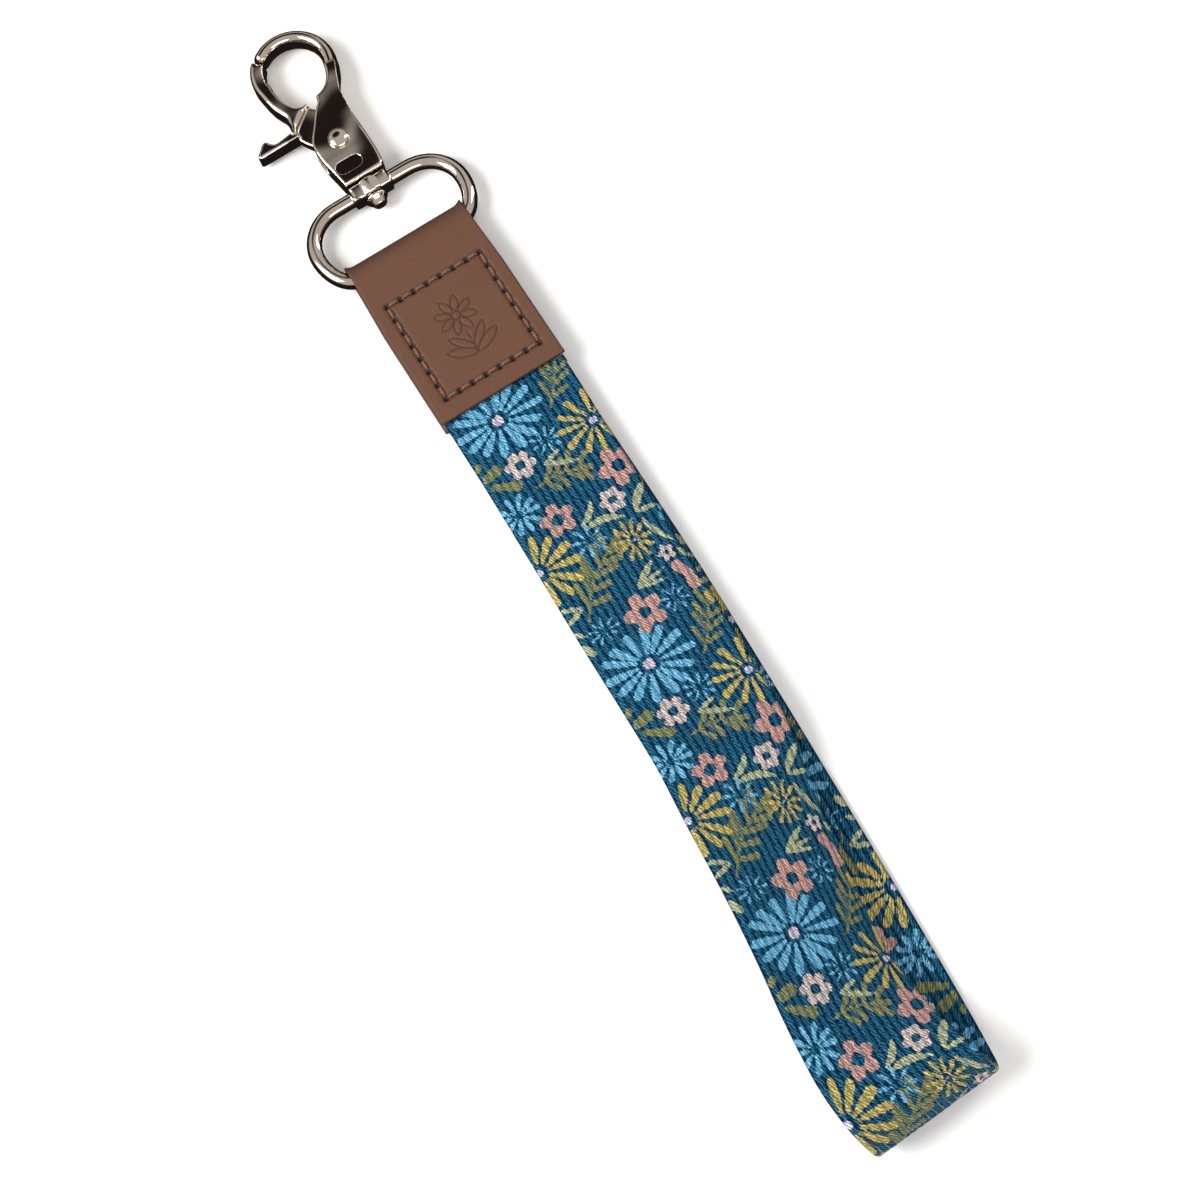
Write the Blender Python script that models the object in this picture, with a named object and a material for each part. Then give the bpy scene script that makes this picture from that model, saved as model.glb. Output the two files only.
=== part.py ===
"""Wristlet key chain: a webbing loop sewn into a folded leather tab, with an oval
swivel ring and a trigger hook.

Frame: metres, +Z up. The piece lies on its back on the plane Z = 0. The origin is the
centre of the leather tab's back face, +Y runs towards the hook and +X to its right.
Run with: blender --background --python part.py
"""
import math

import bmesh
import bpy
import numpy as np

MM = 0.001

# Leather tab: one strip folded round the ring's lower bar
LEATHER_THICK = 1.1 * MM
LEATHER_HALF_WIDTH = 13.3 * MM
FOLD_HALF_WIDTH = 12.75 * MM
FOLD_SKIVED_TO = 0.49 * MM
FOLD_CURL = 0.8 * MM
LEATHER_END_Y = -18.4 * MM
TAB_THICK = 5.7 * MM

# Webbing: one strip, both ends sewn into the tab
WEB_WIDTH = 25.4 * MM
WEB_THICK = 1.3 * MM
WEB_STEPS = 110
WEB_COLUMNS = 6

# Box stitch, one needle thread in front and one bobbin thread behind
STITCH_CENTRE = (0.1 * MM, -3.9 * MM)
STITCH_HALF_WIDTH = 10.1 * MM
STITCH_HALF_LENGTH = 11.0 * MM
THREAD_RADIUS = 0.25 * MM
THREAD_SINK = 0.3 * MM
GROOVE_DEPTH = 0.8 * MM
GROOVE_HALF_WIDTH = 0.5 * MM

# Oval ring with the swivel boss in its upper bar
WIRE_RADIUS = 1.5 * MM
METAL_MID_Z = 2.85 * MM
LOWER_BAR_Y = 16.1 * MM
UPPER_BAR_Y = 31.28 * MM
RING_HALF_WIDTH = 15.87 * MM
LOWER_STRAIGHT_HALF = 11.0 * MM
UPPER_STRAIGHT_HALF = 8.0 * MM
BOSS_HALF_WIDTH = 4.13 * MM
BOSS_HALF_HEIGHT = 1.75 * MM
BOSS_HALF_DEPTH = 2.1 * MM
BARREL_RADIUS = 2.6 * MM

# Swivel pin, headed under the boss
PIN_RADIUS = 1.0 * MM
PIN_TOP_Y = 35.0 * MM
PIN_HEAD_TOP_Y = 29.3 * MM
PIN_HEAD_RADIUS = 2.3 * MM
PIN_HEAD_END_RADIUS = 1.35 * MM
PIN_HEAD_LENGTH = 2.2 * MM
GAP = 0.3 * MM

# Hook body: two cheeks joined by a spine and a base, and the arm of the eye
BODY_LOW_Z = 0.1 * MM
BODY_HIGH_Z = 5.6 * MM
CHEEK_THICK = 1.25 * MM
BODY_BOTTOM_Y = 33.35 * MM
EYE_CENTRE = (0.05 * MM, 61.3 * MM)
EYE_RADIUS = 7.2 * MM
ARM_HALF_WIDTH = 1.43 * MM
ARM_HALF_DEPTH = 2.3 * MM
ARM_TIP_ANGLE = 133.0
ARM_LEAVES_ANGLE = -8.0
SLOT_CENTRE = (-1.2 * MM, 36.85 * MM)
SLOT_HALF_WIDTH = 2.75 * MM
SLOT_HALF_HEIGHT = 1.35 * MM

# Trigger gate on its rivet
PIVOT = (-0.15 * MM, 42.7 * MM)
HUB_RADIUS = 3.4 * MM
HUB_LOW_Z = 1.65 * MM
HUB_HIGH_Z = 4.05 * MM
FINGER_LOW_Z = 0.75 * MM
FINGER_HIGH_Z = 4.95 * MM
LEVER_LOW_Z = 0.9 * MM
LEVER_HIGH_Z = 4.8 * MM
BORE_RADIUS = 1.3 * MM
POCKET_RADIUS = 2.4 * MM
POCKET_LOW_Z = 2.55 * MM
RIVET_RADIUS = 1.0 * MM
RIVET_HEAD_RADIUS = 2.05 * MM
RIVET_DOME = 0.75 * MM
RIVET_TAIL_RADIUS = 1.6 * MM

# Torsion spring round the rivet
SPRING_WIRE = 0.17 * MM
SPRING_RADIUS = 1.78 * MM
SPRING_LOW_Z = 2.85 * MM
SPRING_HIGH_Z = 3.75 * MM
SPRING_TURNS = 2.5
SPRING_LEG = 3.0 * MM


def clear_scene():
    """Remove every object that the start-up scene holds."""
    for obj in list(bpy.data.objects):
        bpy.data.objects.remove(obj, do_unlink=True)


def make_material(name, colour, roughness, metallic):
    """A plain Principled material."""
    material = bpy.data.materials.new(name)
    material.use_nodes = True
    shader = material.node_tree.nodes["Principled BSDF"]
    shader.inputs["Base Color"].default_value = (*colour, 1.0)
    shader.inputs["Roughness"].default_value = roughness
    shader.inputs["Metallic"].default_value = metallic
    return material


def add_object(name, data, material=None):
    """Link new data to the scene as a named object."""
    obj = bpy.data.objects.new(name, data)
    bpy.context.scene.collection.objects.link(obj)
    if material is not None:
        data.materials.append(material)
    return obj


def mesh_object(name, points, faces, material=None):
    """A mesh object with its faces turned outwards."""
    mesh = bpy.data.meshes.new(name)
    mesh.from_pydata([tuple(point) for point in points], [], faces)
    work = bmesh.new()
    work.from_mesh(mesh)
    bmesh.ops.recalc_face_normals(work, faces=work.faces)
    work.to_mesh(mesh)
    work.free()
    return add_object(name, mesh, material)


def smooth_path(points, steps):
    """A smooth open curve through the points, as a Catmull-Rom spline."""
    knots = np.asarray(points, dtype=float)
    padded = np.vstack([2 * knots[0] - knots[1], knots, 2 * knots[-1] - knots[-2]])
    pieces = []
    for index in range(len(knots) - 1):
        before, start, end, after = padded[index:index + 4]
        t = np.linspace(0.0, 1.0, steps, endpoint=False)[:, None]
        pieces.append(0.5 * (2 * start + (end - before) * t
                             + (2 * before - 5 * start + 4 * end - after) * t ** 2
                             + (3 * start - before - 3 * end + after) * t ** 3))
    pieces.append(knots[-1:])
    return np.vstack(pieces)


def arc(centre, radius, start, end, count):
    """Points on a circle's arc, angles in degrees."""
    angles = np.radians(np.linspace(start, end, count))
    return np.column_stack([centre[0] + radius * np.cos(angles), centre[1] + radius * np.sin(angles)])


def plate(name, outline, low, high, material=None):
    """An outline in the XY plane, filled and extruded from low to high."""
    work = bmesh.new()
    corners = [work.verts.new((x, y, low)) for x, y in outline]
    floor = work.faces.new(corners)
    raised = bmesh.ops.extrude_face_region(work, geom=[floor])
    moved = [item for item in raised["geom"] if isinstance(item, bmesh.types.BMVert)]
    bmesh.ops.translate(work, verts=moved, vec=(0.0, 0.0, high - low))
    bmesh.ops.recalc_face_normals(work, faces=work.faces)
    mesh = bpy.data.meshes.new(name)
    work.to_mesh(mesh)
    work.free()
    return add_object(name, mesh, material)


def box(name, low, high, material=None):
    """A box between two corners."""
    outline = [(low[0], low[1]), (high[0], low[1]), (high[0], high[1]), (low[0], high[1])]
    return plate(name, outline, low[2], high[2], material)


def turned(name, profile, axis_point, along_y, material=None, sides=24):
    """A profile of (radius, height) pairs turned round an axis through axis_point.

    The axis is +Z, or +Y where along_y is true. Each end of the profile is closed by a cap.
    """
    work = bmesh.new()
    rings = []
    for radius, height in profile:
        ring = []
        for index in range(sides):
            angle = 2 * math.pi * index / sides
            across = radius * math.cos(angle)
            aside = radius * math.sin(angle)
            if along_y:
                place = (axis_point[0] + across, height, axis_point[1] + aside)
            else:
                place = (axis_point[0] + across, axis_point[1] + aside, height)
            ring.append(work.verts.new(place))
        rings.append(ring)
    for lower, upper in zip(rings, rings[1:]):
        for index in range(sides):
            following = (index + 1) % sides
            work.faces.new((lower[index], lower[following], upper[following], upper[index]))
    work.faces.new(rings[0])
    work.faces.new(rings[-1])
    bmesh.ops.recalc_face_normals(work, faces=work.faces)
    mesh = bpy.data.meshes.new(name)
    work.to_mesh(mesh)
    work.free()
    return add_object(name, mesh, material)


def wire(name, points, radius, material=None, cyclic=False, resolution=2):
    """A round wire along a path: a bevelled curve with filled caps."""
    curve = bpy.data.curves.new(name, "CURVE")
    curve.dimensions = "3D"
    spline = curve.splines.new("POLY")
    spline.points.add(len(points) - 1)
    for slot, point in zip(spline.points, points):
        slot.co = (point[0], point[1], point[2], 1.0)
    spline.use_cyclic_u = cyclic
    curve.bevel_depth = radius
    curve.bevel_resolution = resolution
    curve.use_fill_caps = True
    return add_object(name, curve, material)


def as_mesh(obj):
    """Replace an object by the mesh that it evaluates to, under the same name."""
    name = obj.name
    bpy.context.view_layer.update()
    evaluated = obj.evaluated_get(bpy.context.evaluated_depsgraph_get())
    mesh = bpy.data.meshes.new_from_object(evaluated)
    bpy.data.objects.remove(obj, do_unlink=True)
    mesh.name = name
    return add_object(name, mesh)


def combine(target, tool, operation):
    """Unite the target with the tool, or cut it by the tool, and remove the tool."""
    modifier = target.modifiers.new(operation.lower(), "BOOLEAN")
    modifier.operation = operation
    modifier.solver = "EXACT"
    modifier.object = tool
    result = as_mesh(target)
    bpy.data.objects.remove(tool, do_unlink=True)
    return result


def shade(obj, degrees=35.0):
    """Smooth shading with sharp edges where faces meet at more than the angle."""
    obj.data.shade_smooth()
    obj.data.set_sharp_from_angle(angle=math.radians(degrees))


def set_origin(obj, place):
    """Move the object's origin without moving its shape."""
    shift = bpy.data.objects.new("shift", None)
    shift.location = place
    obj.data.transform(shift.matrix_basis.Translation([-value for value in place]))
    obj.location = place
    bpy.data.objects.remove(shift)


def sheet(name, surface, thickness, material):
    """A closed sheet from a grid of points on its middle surface."""
    rows, columns, _ = surface.shape
    faces = []
    for row in range(rows - 1):
        for column in range(columns - 1):
            corner = row * columns + column
            faces.append((corner, corner + 1, corner + columns + 1, corner + columns))
    mesh = bpy.data.meshes.new(name)
    mesh.from_pydata([tuple(point) for point in surface.reshape(-1, 3)], [], faces)
    obj = add_object(name, mesh, material)
    solid = obj.modifiers.new("thickness", "SOLIDIFY")
    solid.thickness = thickness
    solid.offset = 0.0
    solid.use_even_offset = True
    return obj


def webbing_line():
    """Stations along the strip's middle: x, y, z, roll and turn.

    Roll lowers the right edge, turn swings it towards the hook; both in degrees. The strip
    leaves the tab in front, rises, turns over at the loop's end and lies flat on its way back.
    """
    stations = [
        (0.0, 10.0, 3.65, 0, 0), (0.0, -4.0, 3.65, 0, 0), (0.0, -18.0, 3.7, 0, 0),
        (-0.2, -30.0, 4.3, 2, 0), (-0.8, -50.0, 5.4, 5, -1), (-1.5, -70.0, 6.6, 7, -1.5),
        (-2.0, -88.0, 8.2, 10, -1.5), (-2.6, -99.0, 9.6, 13, -4), (-4.3, -110.5, 11.1, 21, -6),
        (-6.0, -124.0, 12.6, 27, -7), (-7.7, -137.0, 13.6, 29, -7), (-8.9, -147.0, 14.4, 26, -5),
        (-9.3, -156.0, 15.1, 19, -2), (-9.1, -160.5, 15.3, 13, 0), (-8.6, -164.5, 14.8, 8, 1.5),
        (-7.9, -167.7, 13.2, 4, 3), (-7.1, -169.9, 10.8, 1, 3.5), (-6.4, -171.1, 7.9, 0, 3.6),
        (-5.8, -170.9, 5.0, 0, 3), (-5.3, -169.2, 2.6, 0, 2), (-4.9, -166.2, 1.1, 0, 1),
        (-4.5, -162.0, 0.65, 0, 0), (-4.1, -156.0, 0.65, 0, -1), (-3.6, -148.0, 0.65, 0, -2),
        (-2.7, -131.0, 0.65, 0, -2.7), (-1.9, -114.0, 0.65, 0, -2.7), (-1.0, -94.0, 0.65, 0, -2),
        (-0.1, -68.0, 0.65, 0, -1), (0.1, -48.0, 0.8, 0, 0), (0.0, -32.0, 1.35, 0, 0),
        (0.0, -18.0, 2.0, 0, 0), (0.0, -4.0, 2.05, 0, 0), (0.0, 10.0, 2.05, 0, 0),
    ]
    return np.array(stations)


def webbing_surface():
    """The strip's middle surface: straight lines across, carried along the stations."""
    dense = smooth_path(webbing_line(), 12)
    travelled = np.concatenate([[0.0], np.cumsum(np.linalg.norm(np.diff(dense[:, :3], axis=0), axis=1))])
    even = np.linspace(0.0, travelled[-1], WEB_STEPS)
    line = np.column_stack([np.interp(even, travelled, dense[:, index]) for index in range(5)])
    roll = np.radians(line[:, 3])
    turn = np.radians(line[:, 4])
    across = np.column_stack([np.cos(roll) * np.cos(turn), np.cos(roll) * np.sin(turn), -np.sin(roll)])
    places = np.linspace(-WEB_WIDTH / 2, WEB_WIDTH / 2, WEB_COLUMNS + 1)
    middle = line[:, :3] * MM
    return middle[:, None, :] + places[None, :, None] * across[:, None, :]


def make_webbing(material):
    """The printed strip, as one closed solid."""
    return sheet("webbing_strap", webbing_surface(), WEB_THICK, material)


def leather_faces():
    """The leather's outer and inner faces: up the back, round the bar and down the front.

    Beyond the bar's straight part the inner face is skived, so that the ring can swing.
    """
    run = np.array([LEATHER_END_Y, -12 * MM, -4 * MM, 4 * MM, 8 * MM, 11.8 * MM, 12.6 * MM, 13.4 * MM])
    angles = np.radians(np.linspace(-90.0, 90.0, 15))
    along = np.concatenate([run, np.full(15, LOWER_BAR_Y), run[::-1]])
    forward = np.concatenate([np.zeros(8), np.cos(angles), np.zeros(8)])
    upward = np.concatenate([-np.ones(8), np.sin(angles), np.ones(8)])
    nearness = np.clip((along - 12.0 * MM) / (1.4 * MM), 0.0, 1.0)[:, None]
    side = np.linspace(-1.0, 1.0, 19)[None, :]
    narrowing = np.clip((along - 4 * MM) / (LOWER_BAR_Y - 4 * MM), 0.0, 1.0)[:, None]
    x = side * (LEATHER_HALF_WIDTH + (FOLD_HALF_WIDTH - LEATHER_HALF_WIDTH) * narrowing)
    beyond = np.clip((np.abs(side) * FOLD_HALF_WIDTH - LOWER_STRAIGHT_HALF)
                     / (FOLD_HALF_WIDTH - LOWER_STRAIGHT_HALF), 0.0, 1.0)
    outer_reach = TAB_THICK / 2
    thinned = np.sin(beyond * math.pi / 2) * (LEATHER_THICK - FOLD_SKIVED_TO)
    inner_reach = TAB_THICK / 2 - LEATHER_THICK + nearness * thinned
    curl = FOLD_CURL * beyond ** 2 * np.clip((along - 10 * MM) / (6 * MM), 0.0, 1.0)[:, None]
    faces = []
    for reach in (outer_reach + 0 * x, inner_reach + 0 * x):
        y = along[:, None] + forward[:, None] * reach + curl
        z = METAL_MID_Z + upward[:, None] * reach
        faces.append(np.stack([x + 0 * y, y, z], axis=2))
    return faces


def closed_between(name, outer, inner):
    """A closed solid between two grids of points of the same size."""
    rows, columns, _ = outer.shape
    points = np.vstack([outer.reshape(-1, 3), inner.reshape(-1, 3)])
    under = rows * columns
    faces = []
    for row in range(rows - 1):
        for column in range(columns - 1):
            corner = row * columns + column
            quad = (corner, corner + 1, corner + columns + 1, corner + columns)
            faces.append(quad)
            faces.append(tuple(under + index for index in quad[::-1]))
    rim = [column for column in range(columns)]
    rim += [row * columns + columns - 1 for row in range(1, rows)]
    rim += [(rows - 1) * columns + column for column in range(columns - 2, -1, -1)]
    rim += [row * columns for row in range(rows - 2, 0, -1)]
    for first, second in zip(rim, rim[1:] + rim[:1]):
        faces.append((second, first, under + first, under + second))
    return mesh_object(name, points, faces)


def stitch_frame(name, half_thick, low, high):
    """A square frame along the stitch line, used as the groove's cutter."""
    x, y = STITCH_CENTRE
    outer = box(name, (x - STITCH_HALF_WIDTH - half_thick, y - STITCH_HALF_LENGTH - half_thick, low),
                (x + STITCH_HALF_WIDTH + half_thick, y + STITCH_HALF_LENGTH + half_thick, high))
    inner = box("inner", (x - STITCH_HALF_WIDTH + half_thick, y - STITCH_HALF_LENGTH + half_thick, low - GAP),
                (x + STITCH_HALF_WIDTH - half_thick, y + STITCH_HALF_LENGTH - half_thick, high + GAP))
    return combine(outer, inner, "DIFFERENCE")


def make_leather(material):
    """The folded tab, with a sunk line for the stitches on both faces."""
    outer, inner = leather_faces()
    tab = closed_between("leather_tab", outer, inner)
    front = stitch_frame("front_groove", GROOVE_HALF_WIDTH, TAB_THICK - GROOVE_DEPTH, TAB_THICK + 1 * MM)
    tab = combine(tab, front, "DIFFERENCE")
    back = stitch_frame("back_groove", GROOVE_HALF_WIDTH, -1 * MM, GROOVE_DEPTH)
    tab = combine(tab, back, "DIFFERENCE")
    tab.data.materials.clear()
    tab.data.materials.append(material)
    return tab


def make_thread(name, height, material):
    """One thread of the box stitch, a closed square line with small round corners."""
    corner = 0.6 * MM
    x, y = STITCH_CENTRE
    points = []
    for turn, (side, along) in enumerate(((1, 1), (-1, 1), (-1, -1), (1, -1))):
        centre = (x + side * (STITCH_HALF_WIDTH - corner), y + along * (STITCH_HALF_LENGTH - corner))
        for px, py in arc(centre, corner, 90.0 * turn, 90.0 * turn + 90.0, 4):
            points.append((px, py, height))
    thread = as_mesh(wire(name, points, THREAD_RADIUS, cyclic=True, resolution=1))
    thread.data.materials.append(material)
    return thread


def ring_line():
    """The ring wire's centre line: two straight bars joined by quarters of ellipses."""
    middle_y = (LOWER_BAR_Y + UPPER_BAR_Y) / 2
    half_height = (UPPER_BAR_Y - LOWER_BAR_Y) / 2
    points = []
    for side in (1, -1):
        for angle in np.radians(np.linspace(-90.0, 90.0, 19)[::side]):
            straight = LOWER_STRAIGHT_HALF if angle < 0 else UPPER_STRAIGHT_HALF
            x = straight + (RING_HALF_WIDTH - straight) * math.cos(angle)
            points.append((side * x, middle_y + half_height * math.sin(angle), METAL_MID_Z))
    return points


def make_ring(material):
    """The oval ring: a wire closed on itself, a boss in its upper bar and the pin's hole."""
    ring = as_mesh(wire("oval_ring", ring_line(), WIRE_RADIUS, cyclic=True, resolution=3))
    boss = box("boss", (-BOSS_HALF_WIDTH, UPPER_BAR_Y - BOSS_HALF_HEIGHT, METAL_MID_Z - BOSS_HALF_DEPTH),
               (BOSS_HALF_WIDTH, UPPER_BAR_Y + BOSS_HALF_HEIGHT, METAL_MID_Z + BOSS_HALF_DEPTH))
    edge = boss.modifiers.new("edge", "BEVEL")
    edge.width = 0.5 * MM
    edge.segments = 2
    boss = as_mesh(boss)
    ring = combine(ring, boss, "UNION")
    reach = BOSS_HALF_HEIGHT - 0.05 * MM
    barrel = turned("barrel", [(BARREL_RADIUS, UPPER_BAR_Y - reach), (BARREL_RADIUS, UPPER_BAR_Y + reach)],
                    (0.0, METAL_MID_Z), True, sides=32)
    ring = combine(ring, barrel, "UNION")
    hole = turned("hole", [(PIN_RADIUS + GAP, UPPER_BAR_Y - 4 * MM), (PIN_RADIUS + GAP, UPPER_BAR_Y + 4 * MM)],
                  (0.0, METAL_MID_Z), True, sides=20)
    ring = combine(ring, hole, "DIFFERENCE")
    ring.data.materials.clear()
    ring.data.materials.append(material)
    shade(ring)
    set_origin(ring, (0.0, LOWER_BAR_Y, METAL_MID_Z))
    return ring


def make_pin(material):
    """The swivel pin: a shank through the boss and a tapered head below it."""
    head_low = PIN_HEAD_TOP_Y - PIN_HEAD_LENGTH
    profile = [(PIN_HEAD_END_RADIUS * 0.6, head_low), (PIN_HEAD_END_RADIUS, head_low + 0.15 * MM),
               (PIN_HEAD_RADIUS * 0.93, PIN_HEAD_TOP_Y - 0.5 * MM), (PIN_HEAD_RADIUS, PIN_HEAD_TOP_Y - 0.2 * MM),
               (PIN_HEAD_RADIUS, PIN_HEAD_TOP_Y), (PIN_RADIUS, PIN_HEAD_TOP_Y), (PIN_RADIUS, PIN_TOP_Y)]
    pin = turned("swivel_pin", profile, (0.0, METAL_MID_Z), True, material, sides=20)
    shade(pin)
    return pin


def body_outline():
    """The hook body's plate, from the base up the right side and down the gate's side."""
    right = smooth_path([(4.15, 33.35), (4.75, 34.6), (5.0, 38.5), (4.93, 44.0), (4.95, 50.0), (5.5, 53.4),
                         (6.85, 56.0), (7.95, 58.3)], 4)
    inner = smooth_path([(5.35, 58.5), (4.8, 56.5), (3.5, 54.6), (1.9, 53.6), (0.75, 53.3)], 4)
    step = np.array([(0.3, 51.8)])
    left = smooth_path([(-0.45, 51.1), (-1.75, 49.5), (-3.0, 47.7), (-4.3, 45.9), (-5.15, 44.2), (-5.3, 42.0),
                        (-5.15, 39.5), (-4.7, 36.8), (-4.15, 33.35)], 4)
    return np.vstack([right, inner, step, left]) * MM


def arm_line():
    """The eye's arm: round the eye from its tip, then down into the body."""
    over = arc(EYE_CENTRE, EYE_RADIUS, ARM_TIP_ANGLE, ARM_LEAVES_ANGLE, 28)
    down = smooth_path([over[-1], (6.62 * MM, 58.0 * MM), (5.75 * MM, 56.0 * MM), (4.3 * MM, 53.9 * MM),
                        (3.4 * MM, 52.0 * MM)], 3)
    return np.vstack([over, down[1:]])


def make_arm(name):
    """An oval bar along the arm's line, rounded off at the tip."""
    line = arm_line()
    tangent = np.gradient(line, axis=0)
    tangent /= np.linalg.norm(tangent, axis=1)[:, None]
    outward = np.column_stack([-tangent[:, 1], tangent[:, 0]])
    fullness = np.ones(len(line))
    fullness[0] = 0.8
    sides = 16
    turn = 2 * math.pi * np.arange(sides) / sides
    points = []
    for place, side, full in zip(line, outward, fullness):
        for angle in turn:
            reach = ARM_HALF_WIDTH * full * math.cos(angle)
            points.append((place[0] + side[0] * reach, place[1] + side[1] * reach,
                           METAL_MID_Z + ARM_HALF_DEPTH * full * math.sin(angle)))
    faces = [tuple(range(sides)), tuple(range(len(points) - sides, len(points)))]
    for ring in range(len(line) - 1):
        for index in range(sides):
            following = (index + 1) % sides
            corner = ring * sides
            faces.append((corner + index, corner + following, corner + sides + following, corner + sides + index))
    return mesh_object(name, points, faces)


def make_hook_body(material):
    """The hook's casting: plate and arm, with a channel between the cheeks for the gate."""
    body = plate("hook_body", body_outline(), BODY_LOW_Z, BODY_HIGH_Z)
    edge = body.modifiers.new("edge", "BEVEL")
    edge.width = 0.35 * MM
    edge.segments = 1
    edge.limit_method = "ANGLE"
    edge.angle_limit = math.radians(60)
    body = combine(as_mesh(body), make_arm("arm"), "UNION")
    room = np.array([(3.6, 39.0), (3.6, 46.0), (2.6, 49.6), (1.1, 54.5), (-9.0, 54.5), (-9.0, 39.0)]) * MM
    channel = plate("channel", room, BODY_LOW_Z + CHEEK_THICK, BODY_HIGH_Z - CHEEK_THICK)
    body = combine(body, channel, "DIFFERENCE")
    x, y = SLOT_CENTRE
    round_end = SLOT_HALF_WIDTH - SLOT_HALF_HEIGHT
    slot_line = np.vstack([arc((x + round_end, y), SLOT_HALF_HEIGHT, -90, 90, 9),
                           arc((x - round_end, y), SLOT_HALF_HEIGHT, 90, 270, 9)])
    body = combine(body, plate("slot", slot_line, -1 * MM, 8 * MM), "DIFFERENCE")
    pin_hole = turned("pin_hole", [(PIN_RADIUS + GAP, BODY_BOTTOM_Y - 1 * MM), (PIN_RADIUS + GAP, y)],
                      (0.0, METAL_MID_Z), True, sides=16)
    body = combine(body, pin_hole, "DIFFERENCE")
    rivet_hole = turned("rivet_hole", [(BORE_RADIUS, -1 * MM), (BORE_RADIUS, 8 * MM)], PIVOT, False, sides=20)
    body = combine(body, rivet_hole, "DIFFERENCE")
    sink = turned("sink", [(RIVET_TAIL_RADIUS + GAP, -1 * MM), (RIVET_TAIL_RADIUS + GAP, 0.95 * MM)], PIVOT,
                  False, sides=24)
    body = combine(body, sink, "DIFFERENCE")
    body.data.materials.clear()
    body.data.materials.append(material)
    shade(body)
    set_origin(body, (0.0, UPPER_BAR_Y, METAL_MID_Z))
    return body


def finger_outline():
    """The gate's finger: outside the eye's left side down to the lever, back along the step."""
    outer = arc(EYE_CENTRE, EYE_RADIUS + ARM_HALF_WIDTH, 137.0, 188.0, 9)
    outer_low = smooth_path(np.array([(-8.2, 57.7), (-7.75, 55.6), (-7.1, 54.0), (-6.6, 52.6), (-6.75, 50.8),
                                      (-6.9, 48.6)]) * MM, 3)
    step = smooth_path(np.array([(-6.5, 48.4), (-5.5, 49.65), (-3.95, 50.95), (-2.55, 52.05),
                                 (-1.35, 52.75)]) * MM, 3)
    inner_low = smooth_path(np.array([(-2.4, 53.15), (-3.6, 53.5), (-4.5, 54.7), (-5.25, 56.6),
                                      (-5.6, 58.6)]) * MM, 3)
    inner = arc(EYE_CENTRE, EYE_RADIUS - ARM_HALF_WIDTH, 187.0, 137.0, 7)
    return np.vstack([outer, outer_low, step, inner_low, inner])


def hub_outline():
    """The gate's hub and the web that carries the finger and the lever."""
    hub = arc(PIVOT, HUB_RADIUS, -170.0, 10.0, 19)
    web = smooth_path(np.array([(2.7, 45.2), (1.7, 48.0), (0.2, 50.6), (-1.7, 52.7)]) * MM, 3)
    left = smooth_path(np.array([(-4.5, 51.6), (-6.9, 49.3), (-6.6, 47.9), (-5.9, 46.3), (-4.8, 44.6)]) * MM, 3)
    return np.vstack([hub, web, left])


def lever_outline():
    """The thumb lever, a thin plate with a lip at its end."""
    under = np.array([(-6.0, 47.8), (-6.2, 49.6)])
    top = smooth_path([(-7.6, 49.6), (-10.4, 49.2), (-11.4, 49.6), (-12.1, 50.6), (-13.0, 50.6), (-14.0, 49.7),
                       (-14.9, 48.8), (-15.1, 48.2), (-14.7, 47.8)], 3)
    return np.vstack([under, top]) * MM


def make_gate(material):
    """The trigger gate: hub, web, finger and lever in one casting."""
    gate = plate("trigger_gate", hub_outline(), HUB_LOW_Z, HUB_HIGH_Z)
    finger = plate("finger", finger_outline(), FINGER_LOW_Z, FINGER_HIGH_Z)
    edge = finger.modifiers.new("edge", "BEVEL")
    edge.width = 0.45 * MM
    edge.segments = 2
    edge.limit_method = "ANGLE"
    edge.angle_limit = math.radians(60)
    gate = combine(gate, as_mesh(finger), "UNION")
    gate = combine(gate, plate("lever", lever_outline(), LEVER_LOW_Z, LEVER_HIGH_Z), "UNION")
    bore = turned("bore", [(BORE_RADIUS, -1 * MM), (BORE_RADIUS, 8 * MM)], PIVOT, False, sides=20)
    gate = combine(gate, bore, "DIFFERENCE")
    pocket = turned("pocket", [(POCKET_RADIUS, POCKET_LOW_Z), (POCKET_RADIUS, 8 * MM)], PIVOT, False, sides=24)
    gate = combine(gate, pocket, "DIFFERENCE")
    x, y = PIVOT
    notch = box("notch", (x - 1.5 * MM, y - 5 * MM, POCKET_LOW_Z), (x + 5 * MM, y, 8 * MM))
    gate = combine(gate, notch, "DIFFERENCE")
    gate.data.materials.clear()
    gate.data.materials.append(material)
    shade(gate)
    set_origin(gate, (*PIVOT, METAL_MID_Z))
    return gate


def make_spring(material):
    """The torsion spring: a short coil round the rivet and a straight leg towards the base."""
    x, y = PIVOT
    count = int(SPRING_TURNS * 14)
    share = np.linspace(0.0, 1.0, count + 1)
    angle = 2 * math.pi * SPRING_TURNS * (1 - share)
    coil = np.column_stack([x + SPRING_RADIUS * np.cos(angle), y + SPRING_RADIUS * np.sin(angle),
                            SPRING_LOW_Z + (SPRING_HIGH_Z - SPRING_LOW_Z) * share])
    leg = np.array([(x + SPRING_RADIUS, y - SPRING_LEG * part, SPRING_HIGH_Z) for part in (0.5, 1.0)])
    spring = as_mesh(wire("gate_spring", np.vstack([coil, leg]), SPRING_WIRE, resolution=1))
    spring.data.materials.append(material)
    shade(spring, 60.0)
    return spring


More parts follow.
